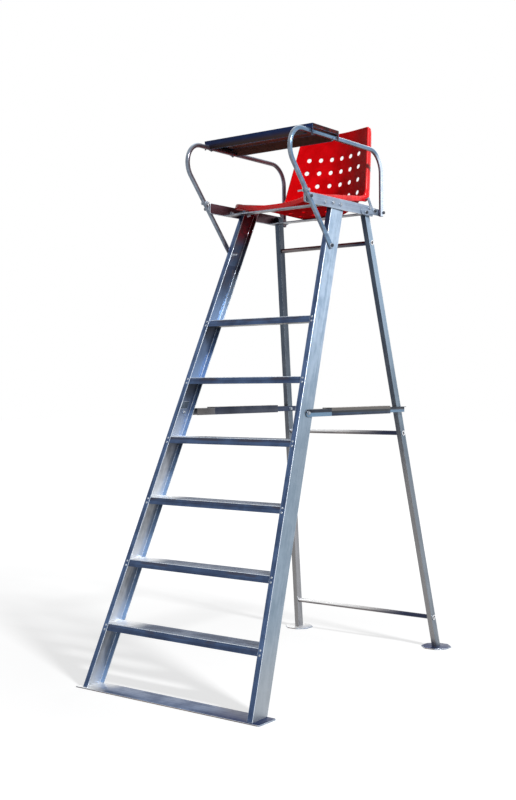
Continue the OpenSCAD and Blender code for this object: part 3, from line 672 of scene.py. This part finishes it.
def pair(make, bm, x, reach, z, way=1, **sizes):
    """Puts a fastener on each side of the chair; it looks outwards, or with way=-1 inwards."""
    for side in (-1, 1):
        make(bm, at(side * x, reach, z), (side * way, 0, 0), **sizes)


def rivet(bm, point, axis, diameter=RIVET_DIAMETER, rise=RIVET_RISE):
    """A domed rivet head."""
    r = diameter / 2
    dome = [(r * cos(a), 0.4 + (rise - 0.4) * sin(a)) for a in (0, 0.35, 0.7, 1.05, 1.35)]
    lathe(bm, stand(point, axis), [(r, 0)] + dome + [(0.9, rise), (0.7, rise - 0.5)], 18)


def weld(bm, points, radius, seed, closed=False):
    """A rippled weld bead along points."""
    rng = random.Random(seed)
    ends = points + [points[0]] if closed else points
    path = []
    for a, b in zip(ends, ends[1:]):
        steps = max(2, int((b - a).length / (WELD_STEP * MM)))
        path += [a.lerp(b, k / steps) for k in range(steps)]
    path.append(ends[-1].copy())
    loops = []
    for k, p in enumerate(path):
        ahead = (path[min(k + 1, len(path) - 1)] - path[max(k - 1, 0)]).normalized()
        r = radius * (1 + 0.16 * sin(1.9 * k) + rng.uniform(-0.12, 0.12))
        loops.append([stand(p, ahead) @ (Vector((x, y, 0)) * MM) for x, y in ring(r, 8)])
    skin(bm, loops)


# ------------ ladder
def ladder():
    for side in ("left", "right"):
        worked("front_stringer_" + side, STRINGER, 1.4, EDGE)
    worked("front_base_plate", BASE, 0.9, EDGE)


def step_top(i):
    return FIRST_STEP_TOP + (i - 1) * STEP_PITCH


def tread_profile(top):
    """Cross-section of a step: slanted front and rear, rounded corners, fine ribs on top."""
    low, corner = top - STEP_HEIGHT, TREAD_CORNER
    inset = (STRINGER_WALL + TREAD_GAP) / cos(LADDER_LEAN)
    depth = DEPTH_LEVEL - 2 * inset
    front_low, front_top = stringer_front(low) + inset, stringer_front(top) + inset
    low_corner = ((corner, 0), (0.3 * corner, 0.3 * corner), (corner * LEAN_SLOPE, corner))
    top_corner = ((-corner * LEAN_SLOPE, -corner), (0.2 * corner, -0.3 * corner), (corner, 0))
    front = [(front_low + x, low + z) for x, z in low_corner]
    front += [(front_top + x, top + z) for x, z in top_corner]
    back = [(front_low + front_top + depth - x, low + top - z) for x, z in front]
    ribs = []
    reach = front_top + RIB_MARGIN
    while reach + RIB_PITCH < front_top + depth - RIB_MARGIN / 2:
        ribs += [(reach + x, top - RIB_DEPTH * sunk) for x, sunk in ((0, 0), (0.7, 1), (1.5, 1), (2.2, 0))]
        reach += RIB_PITCH
    return front + ribs + back


def treads():
    for i in range(1, STEP_COUNT + 1):
        top = step_top(i)
        profile = tread_profile(top)
        half = stringer_side(top) - STRINGER_WALL - TREAD_END_GAP
        bm = bmesh.new()
        skin(bm, [[at(half * share, reach, z) for reach, z in profile] for share in (-1, -0.5, 0, 0.5, 1)])
        # The faces ahead of and above the nose's corner take the bright edge material, a painted highlight.
        nose = at(0, profile[5][0], top - 2)
        for face in bm.faces:
            middle = face.calc_center_median()
            face.material_index = 1 if middle.y < nose.y and middle.z > nose.z else 0
        add_piece(f"tread_{i}_ribbed", bm, [TREAD, EDGE], [f"tread_{i}"], sharp=28)


def tread_rivets():
    """Two rivets through each flange at each end of each step."""
    bm = bmesh.new()
    normal = Vector(FRONT_FACE)
    for i in range(1, STEP_COUNT + 1):
        for drop in (6, STEP_HEIGHT - 5):
            z = step_top(i) - drop
            for side in (-1, 1):
                x = side * (stringer_side(z) - STRINGER_FLANGE * 0.56)
                rivet(bm, at(x, stringer_front(z), z), normal)
                rivet(bm, at(x, stringer_front(z) + DEPTH_LEVEL, z), -normal)
    add_piece("tread_rivets", bm, [FASTENER])


def stringer_foot_welds():
    bm = bmesh.new()
    z = PLATE + WELD_HEIGHT
    front, rear = stringer_front(z), stringer_front(z) + DEPTH_LEVEL
    outer = stringer_side(z)
    inner, web = outer - STRINGER_FLANGE, outer - STRINGER_WALL
    for side in (-1, 1):
        weld(bm, [at(side * x, reach, z) for x, reach in
                  ((inner, front), (outer, front), (outer, rear), (inner, rear))], FLANGE_WELD, 11 + side)
        weld(bm, [at(side * web, reach, z) for reach in (front + WEB_WELD_MARGIN, rear - WEB_WELD_MARGIN)],
             WEB_WELD, 14 + side)
    add_piece("stringer_foot_welds", bm, [WELD], sharp=0)


def leg_foot_welds():
    bm = bmesh.new()
    z = PLATE + WELD_HEIGHT
    half_w, half_d = LEG_WIDTH / 2 + 0.4, LEG_DEPTH / 2 + 0.8
    for side in (-1, 1):
        x, reach = side * (leg_outer(z) - LEG_WIDTH / 2), leg_reach(z)
        weld(bm, [at(x + half_w * i, reach + half_d * j, z) for i, j in ((-1, -1), (1, -1), (1, 1), (-1, 1))],
             FLANGE_WELD, 21 + side, closed=True)
    add_piece("leg_foot_welds", bm, [WELD], sharp=0)


# ------------ rear frame
def rear_frame():
    for side in ("left", "right"):
        worked("rear_leg_" + side, LEG, 1.6, EDGE)
        worked("rear_foot_" + side, BASE, 0.9, EDGE)
        worked("stay_bracket_" + side, STAY, 0.7)
        worked("side_stay_" + side, STAY, 0.7)
        worked("stay_sleeve_" + side, SLEEVE, 0.95)
    for tie in ("top", "middle", "bottom"):
        worked("rear_tie_" + tie, TIE, 0.5)


def stay_fasteners():
    bm = bmesh.new()
    z = STAY_HEIGHT
    web = stringer_side(z - BRACKET_HEIGHT / 2)
    pin = stringer_front(z + BRACKET_HEIGHT / 2) + DEPTH_LEVEL / 2
    pair(bolt, bm, web + STAY_WALL, pin, z, wide=18)
    pair(nut, bm, web - STRINGER_WALL, pin, z, -1, wide=24)
    pair(bolt, bm, leg_outer(z) - LEG_WIDTH - STAY_WALL, leg_reach(z), z, -1)
    pair(nut, bm, leg_outer(z), leg_reach(z), z)
    add_piece("stay_bolts", bm, [FASTENER])


def stay_backing_plates():
    """Small plates on the stringers' inner faces that back the stays' lugs, above their nuts."""
    bm = bmesh.new()
    corners = ((-1, BACKING_LOW), (1, BACKING_LOW), (1, BACKING_HIGH), (-1, BACKING_HIGH))
    for side in (-1, 1):
        skin(bm, [[at(side * (stringer_side(STAY_HEIGHT + up) - STRINGER_WALL - off),
                      stringer_front(STAY_HEIGHT + up) + (DEPTH_LEVEL + half * BACKING_WIDTH) / 2,
                      STAY_HEIGHT + up) for half, up in corners] for off in (0, BACKING_THICKNESS)])
    round_edges(add_piece("stay_backing_plates", bm, [LEG, EDGE], sharp=0), 1.2, 1)


# ------------ seat frame
def seat_frame():
    for side in ("left", "right"):
        worked("seat_rail_" + side, RAIL, 1.0, EDGE)
        worked("rail_end_plate_" + side, RAIL, 0.6, EDGE)
        worked("seat_strut_" + side, RAIL, 0.6, EDGE)
    for place in ("front", "rear"):
        worked("seat_crossbar_" + place, RAIL, 0.8, EDGE)


def rail_fasteners():
    """Bolts through the rails: three at the stringer, the armrest's, and those of the end plate."""
    bm = bmesh.new()
    for reach, up in RAIL_BOLTS:
        pair(bolt, bm, RAIL_OUTER, reach, RAIL_MIDDLE + up, wide=16, turn=0.2 + reach * 0.01)
        pair(nut, bm, RAIL_INNER - STRINGER_WALL, reach, RAIL_MIDDLE + up, -1, stub=5)
    plate_face = RAIL_OUTER + END_PLATE_THICKNESS
    pair(bolt, bm, plate_face, ARM_REAR - END_PLATE_LENGTH + 0.8 * END_PLATE_LENGTH / 3,
         RAIL_BOTTOM + 0.8 * RAIL_HEIGHT / 3, turn=0.1, material=1)
    pair(bolt, bm, plate_face, RAIL_REAR - 35, RAIL_BOTTOM + 33, wide=15, turn=0.5)
    pair(bolt, bm, plate_face, RAIL_REAR + 1.5 * BOLT, RAIL_MIDDLE + BOLT / 2, wide=24, turn=0.3,
         material=1)
    post_bolt = RAIL_TOP - ARM_POST_DROP + 2 * BOLT
    pair(bolt, bm, ARM_PLANE + ARM_DIAMETER / 2, ARM_REAR, post_bolt, wide=15, turn=0.2, material=1)
    pair(nut, bm, RAIL_OUTER, ARM_REAR, post_bolt, -1, stub=3)
    add_piece("rail_bolts", bm, [FASTENER, DARK_FASTENER])


# ------------ armrests
def arm_run():
    """(length of the straight lower run, its angle from the vertical)"""
    ahead, up = ARM_BOLT_REACH - ARM_FRONT, ARM_HEIGHT - ARM_FRONT_RADIUS - ARM_BOLT_HEIGHT
    reach = hypot(ahead, up)
    angle = asin(ARM_FRONT_RADIUS / reach) + atan2(ahead, up)
    return sqrt(reach ** 2 - ARM_FRONT_RADIUS ** 2), angle


ARM_RUN, ARM_ANGLE = arm_run()


def arm_bend(reach, height, radius, start, end, steps):
    """Places of arm_path round a bend whose middle is at a reach and a height."""
    return [(reach + radius * cos(a), height + radius * sin(a), a - pi / 2, ARM_RUN)
            for a in (blend(start, end, k / steps) for k in range(steps + 1))]


def arm_path():
    """(reach, height, direction, distance past the lower bolt) up the lower run, where that
    distance counts, round both bends and down the post."""
    beyond, quarter = ARM_LUG_WIDTH / 2, pi / 2
    stations = [-beyond * share for share in (1, 0.97, 0.86, 0.64, 0.34)]
    stations += [ARM_RUN * share for share in (0, 0.06, 0.12)]
    stations += [ARM_LUG_LENGTH * k / 6 + 40 for k in range(7)]
    stations += [ARM_RUN * (0.3 + 0.7 * k / 12) for k in range(12)]
    path = [(ARM_BOLT_REACH - sin(ARM_ANGLE) * s, ARM_BOLT_HEIGHT + cos(ARM_ANGLE) * s,
             quarter + ARM_ANGLE, s) for s in sorted(stations)]
    path += arm_bend(ARM_FRONT, ARM_HEIGHT - ARM_FRONT_RADIUS, ARM_FRONT_RADIUS, pi + ARM_ANGLE,
                     quarter, 28)
    end, post_top = ARM_REAR - ARM_REAR_RADIUS, ARM_HEIGHT - ARM_REAR_RADIUS
    path += [(blend(ARM_FRONT, end, k / 16), ARM_HEIGHT, 0.0, ARM_RUN) for k in range(1, 16)]
    path += arm_bend(end, post_top, ARM_REAR_RADIUS, quarter, 0.0, 20)
    return path + [(ARM_REAR, blend(post_top, RAIL_TOP - ARM_POST_DROP, k / 8), -quarter, ARM_RUN)
                   for k in range(1, 9)]


def arm_section(side, reach, z, turn, s, shrink=0.0):
    """The tube's outline at a place on its path; it is flattened towards its lower end."""
    r = ARM_DIAMETER / 2 - shrink
    t = ease((s - ARM_LUG_LENGTH - ARM_FLAT_END) / (ARM_ROUND_START - ARM_FLAT_END))
    half_thick = blend(ARM_LUG_THICKNESS / 2, r, t)
    half_wide = blend(ARM_LUG_WIDTH / 2, r, t)
    if s < 0:
        half_wide = max(2.0, sqrt(max(0.0, (ARM_LUG_WIDTH / 2) ** 2 - s * s)))
    x, power = blend(ARM_LUG_INNER + ARM_LUG_THICKNESS / 2, ARM_PLANE, t), blend(0.45, 1.0, t)
    outline = []
    for c, d in ring(1, 28):
        wide = half_wide * copysign(abs(c) ** power, c)
        thick = half_thick * copysign(abs(d) ** power, d)
        outline.append(at(side * (x + thick), reach - sin(turn) * wide, z + cos(turn) * wide))
    return outline


def armrests():
    path = arm_path()
    reach, z, turn, s = path[-1]
    for side, name in ((-1, "left"), (1, "right")):
        loops = [arm_section(side, *place) for place in path]
        loops += [arm_section(side, reach, z + up, turn, s, ARM_WALL) for up in (0, ARM_END_HOLE)]
        bm = bmesh.new()
        skin(bm, loops)
        add_piece(f"armrest_{name}_bent_tube", bm, [ARM], ["armrest_" + name],
                  sharp=50)


def arm_fasteners():
    """The lower bolt, and two where the run passes the rail; the right one's upper end is long."""
    bm = bmesh.new()
    reach, z, outer = ARM_BOLT_REACH, ARM_BOLT_HEIGHT, ARM_LUG_INNER + ARM_LUG_THICKNESS
    cross, upper = (reach - (height - z) * tan(ARM_ANGLE) for height in (RAIL_MIDDLE, RAIL_TOP))
    face = ARM_DIAMETER / 2 - 0.5
    pair(bolt, bm, outer + WASHER_THICKNESS, reach, z, wide=16, turn=0.3, material=1)
    pair(nut, bm, ARM_LUG_INNER - STRINGER_WALL, reach, z, -1, stub=20)
    pair(bolt, bm, ARM_PLANE + face, cross, RAIL_MIDDLE, wide=15, turn=0.2, material=1)
    pair(bolt, bm, ARM_PLANE + face, upper, RAIL_TOP, wide=15, turn=0.7)
    for side, stub in ((-1, 5), (1, 22)):
        nut(bm, at(side * (ARM_PLANE - face), upper, RAIL_TOP), (-side, 0, 0), stub)
        washer(bm, stand(at(side * outer, reach, z), (side, 0, 0)), 22)
        washer(bm, stand(at(side * RAIL_OUTER, cross, RAIL_MIDDLE), (side, 0, 0)), 20, END_PLATE_THICKNESS)
    add_piece("armrest_bolts", bm, [FASTENER, DARK_FASTENER])


# ------------ tray
def tray():
    worked("writing_tray", PAINT, 0.9, PAINT_EDGE)


def tray_clips():
    """Saddle clips that hold the tray's flanges to the armrest tubes, with their rivets."""
    bm = bmesh.new()
    inner, outer = ARM_DIAMETER / 2, ARM_DIAMETER / 2 + CLIP_THICKNESS
    saddle = [(outer, 180 + 15 * k) for k in range(13)] + [(inner, 360 - 15 * k) for k in range(13)]
    for side in (-1, 1):
        for reach in (TRAY_FRONT + CLIP_MARGIN, TRAY_FRONT + TRAY_DEPTH - CLIP_MARGIN):
            skin(bm, [[at(side * ARM_PLANE + r * cos(radians(a)), reach + half,
                          ARM_HEIGHT + r * sin(radians(a))) for r, a in saddle]
                      for half in (-CLIP_WIDTH / 2, CLIP_WIDTH / 2)])
            rivet(bm, at(side * ARM_PLANE, reach, ARM_HEIGHT - outer), DOWN, CLIP_RIVET_DIAMETER,
                  CLIP_RIVET_RISE)
    add_piece("tray_clips", bm, [ARM])


# ------------ seat shell
# Its middle line runs along the pan, round the bend and up the back; s is the way along it, w across.
SEAT_HALF = RAIL_INNER - SEAT_GAP
CROSSBAR_REAR_EDGE = leg_reach(RAIL_BOTTOM) - LEG_DEPTH / cos(atan(REAR_RAKE)) / 2 - CROSSBAR_GAP
SEAT_FRONT = RAIL_FRONT + SEAT_SETBACK
SEAT_FRONT_HEIGHT = (RAIL_BOTTOM + CROSSBAR_THICKNESS + SHELL / cos(PAN_SLOPE)
                     + tan(PAN_SLOPE) * (CROSSBAR_REAR_EDGE - SEAT_FRONT))
BEND_TURN = pi / 2 - BACK_LEAN + PAN_SLOPE
BEND_LENGTH = BEND_RADIUS * BEND_TURN
BEND_REACH = SEAT_FRONT + PAN_LENGTH * cos(PAN_SLOPE) + BEND_RADIUS * sin(PAN_SLOPE)
BEND_HEIGHT = SEAT_FRONT_HEIGHT - PAN_LENGTH * sin(PAN_SLOPE) + BEND_RADIUS * cos(PAN_SLOPE)
BACK_REACH = BEND_REACH + BEND_RADIUS * cos(BACK_LEAN)
BACK_FOOT = BEND_HEIGHT - BEND_RADIUS * sin(BACK_LEAN)
BACK_START = PAN_LENGTH + BEND_LENGTH
SEAT_TOP = RAIL_TOP + BACK_RISE
BACK_LENGTH = (SEAT_TOP - BACK_FOOT) / cos(BACK_LEAN)
LINE_LENGTH = BACK_START + BACK_LENGTH


def corner_inset(d, radius):
    return 0.0 if d >= radius else radius - sqrt(max(0.0, radius ** 2 - (radius - d) ** 2))


def half_width(s):
    """Half the shell's width at a distance along its middle line."""
    if s < PAN_LENGTH:
        return SEAT_HALF - corner_inset(s, FRONT_CORNER)
    t = max(0.0, (s - BACK_START) / BACK_LENGTH)
    return SEAT_HALF - BACK_NARROWING * t - corner_inset(LINE_LENGTH - s, BACK_CORNER)


def corner_cut(rise, beyond):
    """How much the sides rise further where the rim cuts the corner; it fades beyond the bend."""
    fade = max(0.0, 1 - beyond / (0.75 * RIM_DEPTH))
    return RIM_CORNER_CUT * (BEND_RADIUS - rise) * fade ** 2


def shell_place(s):
    """(reach, height, turn, rise of the sides, power of that rise, drop of the sides, rim depth)"""
    drop, beyond, swell = 0.0, 0, 1
    if s <= PAN_LENGTH:
        t = s / PAN_LENGTH
        reach, height = SEAT_FRONT + s * cos(PAN_SLOPE), SEAT_FRONT_HEIGHT - s * sin(PAN_SLOPE)
        turn, rise, power = -PAN_SLOPE, blend(RISE_FRONT, RISE_SEAT, t), PAN_POWER
        beyond, swell = PAN_LENGTH - s, 1 - (1 - t) ** 3
    elif s <= BACK_START:
        t = (s - PAN_LENGTH) / BEND_LENGTH
        turn = t * BEND_TURN - PAN_SLOPE
        reach, height = BEND_REACH + BEND_RADIUS * sin(turn), BEND_HEIGHT - BEND_RADIUS * cos(turn)
        rise, power = blend(RISE_SEAT, RISE_WAIST, t), blend(PAN_POWER, BACK_POWER, t)
    else:
        beyond = s - BACK_START
        t = beyond / BACK_LENGTH
        reach, height = BACK_REACH + beyond * sin(BACK_LEAN), BACK_FOOT + beyond * cos(BACK_LEAN)
        turn, rise, power = pi / 2 - BACK_LEAN, blend(RISE_WAIST, RISE_BACK, t), BACK_POWER
        drop, swell = BACK_CORNER_DROP * t ** 6, 1 - t ** 3
    cut = corner_cut(rise, beyond)
    return reach, height, turn, rise + cut, power, drop, RIM_DEPTH + RIM_SWELL * swell + cut


def on_line(s):
    return min(max(s, 0.0), LINE_LENGTH)


def shell_point(s, w, depth):
    """A point of the shell at s along it and w across it, at a depth below its face."""
    s = on_line(s)
    reach, height, turn, rise, power, drop, _ = shell_place(s)
    u = min(1.0, abs(w) / half_width(s))
    up, down = rise * u ** power - depth, drop * u ** 3
    return at(w, reach - sin(turn) * up - cos(turn) * down,
              height + cos(turn) * up - sin(turn) * down)


def shell_outline():
    """The shell's flat outline as (s, w), counterclockwise from the middle of the front."""
    arc = [radians(9 * k) for k in range(11)]
    straight, top_half = SEAT_HALF - FRONT_CORNER, SEAT_HALF - BACK_NARROWING - BACK_CORNER
    right = [(0.0, straight * k / 8) for k in range(8)]
    right += [(FRONT_CORNER * (1 - cos(a)), straight + FRONT_CORNER * sin(a)) for a in arc]
    sides = [blend(FRONT_CORNER, LINE_LENGTH - BACK_CORNER, k / 70) for k in range(1, 70)]
    right += [(s, half_width(s)) for s in sides]
    right += [(LINE_LENGTH - BACK_CORNER * (1 - sin(a)), top_half + BACK_CORNER * cos(a))
              for a in arc]
    right += [(LINE_LENGTH, top_half * (1 - k / 8)) for k in range(1, 9)]
    return right + [(s, -w) for s, w in reversed(right) if w > 0]


def roll_at(s):
    """How far in the face starts to roll over into the rim: further along the sides and the bend."""
    from_bend = (s - PAN_LENGTH) / (BEND_LENGTH / 2) - 1
    side = ease(s / FRONT_CORNER) * ease((LINE_LENGTH - s) / RIM_ROLL_FADE)
    return RIM_ROLL + side * (RIM_ROLL_SIDE + RIM_ROLL_BEND * exp(-from_bend ** 2))


def rim_profile():
    """(share of the roll still ahead, depth in rolls): a tight turn out of the face, then a slow
    one down to the rim's side."""
    places, out, down = [], 0.0, 0.0
    for turn, step in [(12, 0.4), (30, 0.4), (44, 0.6)] + [(46 + 4 * k, 2.2) for k in range(11)]:
        out += cos(radians(turn)) * step
        down += sin(radians(turn)) * step
        places.append((out, down))
    return [(1 - o / out, d / out) for o, d in places]


def inset(loop, share, distance=0.0):
    """The loop moved inwards by a share of the rim's roll and a distance."""
    moved = []
    for k, (s, w) in enumerate(loop):
        before, after = loop[k - 1], loop[(k + 1) % len(loop)]
        ds, dw = after[0] - before[0], after[1] - before[1]
        step = (share * roll_at(s) + distance) / (hypot(ds, dw) or 1.0)
        moved.append((s + dw * step, w - ds * step))
    return moved


def hole_centres():
    centres = [(PAN_HOLE_MARGIN + row * PAN_ROW_PITCH, (column - (PAN_COLUMNS - 1) / 2) * PAN_COLUMN_PITCH)
               for row in range(PAN_ROWS) for column in range(PAN_COLUMNS)]
    for row in range(BACK_ROWS):
        up = SEAT_TOP - BACK_HOLE_MARGIN - row * BACK_ROW_PITCH - BACK_FOOT
        pitch = BACK_COLUMN_PITCH * (1 - BACK_NARROWING * max(0.0, up / (SEAT_TOP - BACK_FOOT)) / SEAT_HALF)
        centres += [(BACK_START + up * cos(BACK_LEAN), (column - (BACK_COLUMNS - 1) / 2) * pitch)
                    for column in range(BACK_COLUMNS)]
    return centres


def hole_ring(centre, radius):
    return [(centre[0] + s, centre[1] + w) for s, w in ring(radius, 24)]


def inside(loop, points):
    """Which points lie inside a closed loop."""
    result = np.zeros(len(points), bool)
    for (s0, w0), (s1, w1) in zip(loop, np.roll(loop, -1, axis=0)):
        crosses = (w0 > points[:, 1]) != (w1 > points[:, 1])
        where = (s1 - s0) * (points[:, 1] - w0) / ((w1 - w0) or 1e-9) + s0
        result ^= crosses & (points[:, 0] < where)
    return result


def nearest(points, places):
    """How far each point is from the nearest place."""
    return np.min(np.linalg.norm(points[:, None] - places[None], axis=2), axis=1)


def sheet_between(bm, outline, centres, radius, pitch, depth):
    """Fills the space between the outline and rings round the holes' centres with a smooth net at
    one depth. Returns the vertices of the outline and of each ring."""
    edge, middles = np.array(outline), np.array(centres)
    s, w = np.meshgrid(np.arange(0, LINE_LENGTH, pitch), np.arange(-SEAT_HALF, SEAT_HALF, pitch))
    grid = np.stack([s.ravel(), w.ravel()], 1)
    grid = grid[inside(edge, grid)]
    grid = grid[(nearest(grid, edge) > pitch * 0.6) & (nearest(grid, middles) > radius + pitch * 0.5)]
    points, edges, loops = [], [], []
    for loop in [outline] + [hole_ring(centre, radius) for centre in centres]:
        places = range(len(points), len(points) + len(loop))
        edges += zip(places, [*places[1:], places[0]])
        loops.append(places)
        points += loop
    points += [tuple(p) for p in grid]
    net, _, faces, origins, _, _ = delaunay_2d_cdt([Vector(p) for p in points], edges, [], 0, 1e-6)
    place_of = {source: k for k, sources in enumerate(origins) for source in sources}
    verts = [bm.verts.new(shell_point(p.x, p.y, depth)) for p in net]
    face_middles = np.array([np.mean([net[k] for k in face], axis=0) for face in faces])
    good = inside(edge, face_middles) & (nearest(face_middles, middles) > radius * 0.97)
    for face, wanted in zip(faces, good):
        if wanted:
            bm.faces.new([verts[k] for k in face])
    return [[verts[place_of[k]] for k in places] for places in loops]


def bridge(bm, first, middle, last, material=0):
    """Joins a loop of vertices to another through loops of points."""
    join(bm, [first, *rings_of(bm, middle), last], material)


def seat_shell():
    """One moulded shell: a face and an underside, joined by a rolled rim and by the holes' walls."""
    bm = bmesh.new()
    outline, centres, radius = shell_outline(), hole_centres(), HOLE_DIAMETER / 2
    pitch = 7.0
    face = sheet_between(bm, inset(outline, 1.0), centres, radius + HOLE_LIP, pitch, 0)
    top_faces = len(bm.faces)
    under = sheet_between(bm, inset(outline, 0.0, RIM_WALL), centres, radius + HOLE_UNDER_LIP, pitch, SHELL)
    for f in list(bm.faces)[top_faces:]:
        f.material_index = 1
    rim = []
    for ahead, down in rim_profile():
        rim.append([shell_point(s, w, down * roll_at(edge[0]))
                    for (s, w), edge in zip(inset(outline, ahead), outline)])
    for take_in, up in ((0.0, 2.0), (0.5, 0.6), (1.6, 0.0), (2.8, 0.4), (3.4, 1.6)):
        rim.append([shell_point(s, w, shell_place(on_line(s))[-1] - up)
                    for s, w in inset(outline, 0.0, take_in)])
    bridge(bm, face[0], rim, under[0], 2)
    for centre, top, bottom in zip(centres, face[1:], under[1:]):
        rows = [[shell_point(s, w, depth) for s, w in hole_ring(centre, radius + out)]
                for out, depth in ((0.8, 0.25), (0.25, 0.7), (0.0, 1.5), (0.0, SHELL - 0.8))]
        bridge(bm, top, rows, bottom)
    bmesh.ops.delete(bm, geom=[v for v in bm.verts if not v.link_faces], context="VERTS")
    add_piece("seat_shell_moulded", bm, [RED, RED_UNDER, RED_RIM], ["seat_shell"], sharp=60)


def seat_feet():
    bm = bmesh.new()
    front, rear = SEAT_FRONT + SHELL / 2, RAIL_FRONT + CROSSBAR_SETBACK + CROSSBAR_WIDTH
    low = RAIL_BOTTOM + CROSSBAR_THICKNESS
    high = SEAT_FRONT_HEIGHT - (rear - front) * tan(PAN_SLOPE) - SHELL / 2
    for side in (-1, 1):
        x0, x1 = (side * SEAT_FOOT_OFFSET + k * SEAT_FOOT_WIDTH / 2 for k in (-1, 1))
        skin(bm, [[at(x0 + d, front + d, z), at(x1 - d, front + d, z), at(x1 - d, rear - d, z),
                   at(x0 + d, rear - d, z)] for z, d in ((low, SEAT_FOOT_DRAFT), (high, 0))])
    round_edges(add_piece("seat_feet", bm, [RED], sharp=0), 3.0, -1)


# ------------ studio
CAMERA_FROM = Vector((2.8855, -3.9654, 1.2068))
CAMERA_TURN = (36.84, -0.248, -0.374)  # yaw, pitch and roll in degrees
CAMERA_SHIFT = (-0.0049, -0.0105)
IMAGE_HEIGHT, FOCAL_PX, SENSOR = 800, 1134.04, 36.0
FLOOR_HALF, FLOOR_GLOW_NEAR = 30.0, 0.72


def camera():
    data = bpy.data.cameras.new("camera")
    yaw, pitch, roll = (radians(a) for a in CAMERA_TURN)
    ahead = Vector((-sin(yaw) * cos(pitch), cos(yaw) * cos(pitch), sin(pitch)))
    level = Vector((cos(yaw), sin(yaw), 0))
    upright = level.cross(ahead)
    right = level * cos(roll) + upright * sin(roll)
    above = upright * cos(roll) - level * sin(roll)
    data.sensor_width = SENSOR
    data.lens = FOCAL_PX / IMAGE_HEIGHT * SENSOR
    data.shift_x, data.shift_y = CAMERA_SHIFT
    obj = in_scene("camera", data)
    obj.matrix_world = Matrix.Translation(CAMERA_FROM) @ Matrix((right, above, -ahead)).transposed().to_4x4()
    bpy.context.scene.camera = obj


def lamp(name, place, target, size, power):
    data = bpy.data.lights.new(name, "AREA")
    data.shape, data.size, data.energy = "DISK", size, power
    in_scene(name, data).matrix_world = stand(Vector(place), Vector(place) - Vector(target))


def seen_directly(s):
    """1 for the rays that show the background: straight from the camera, mirrored or let through."""
    total = s.node("LightPath", output="Is Camera Ray")
    for name in ("Is Glossy Ray", "Is Transmission Ray"):
        total = s.math("MAXIMUM", total, s.node("LightPath", output=name))
    return total


def world():
    """White where it is seen, and a dim blue light elsewhere."""
    made = bpy.data.worlds.new("studio")
    bpy.context.scene.world = made
    s = Shader(made)
    light = s.node("Background", Color=(0.93, 0.96, 1.0, 1), Strength=0.1)
    white = s.node("Background", Color=(1, 1, 1, 1), Strength=1.0)
    s.tree.nodes.remove(s.tree.nodes["Background"])
    s.feed(s.tree.nodes["World Output"].inputs["Surface"],
           s.node("MixShader", i0=seen_directly(s), i1=light, i2=white))


def floor():
    mesh = bpy.data.meshes.new("floor")
    mesh.from_pydata([(x * FLOOR_HALF, y * FLOOR_HALF, 0) for x, y in ((-1, -1), (1, -1), (1, 1), (-1, 1))],
                     [], [(0, 1, 2, 3)])
    obj = in_scene("floor", mesh)
    s = Surface("studio_floor")
    s.colour = (0.4, 0.4, 0.4, 1)
    away = s.node("VectorMath", {"operation": "LENGTH"}, "Value", i0=s.vector)
    glow = s.node("MapRange", i0=away, i1=1.0, i2=4.0, i3=FLOOR_GLOW_NEAR, i4=1.0)
    s.feed(s.bsdf.inputs["Emission Strength"], seen_directly(s) * glow)
    mesh.materials.append(s.finish(0.9, Specular_IOR_Level=0.0, Emission_Color=(1, 1, 1, 1)))


def studio():
    bpy.context.scene.view_settings.view_transform = "Standard"
    camera()
    world()
    floor()
    lamp("key", (5.4, -1.3, 5.4), (0, 0, 1.3), 0.9, 500)
    lamp("back", (-0.5, 4.4, 3.6), (0, 0, 1.4), 3.0, 30)


for build in (ladder, treads, tread_rivets, stringer_foot_welds, leg_foot_welds, rear_frame, stay_fasteners,
              stay_backing_plates, seat_frame, rail_fasteners, armrests, arm_fasteners, tray, tray_clips,
              seat_shell, seat_feet, studio):
    build()
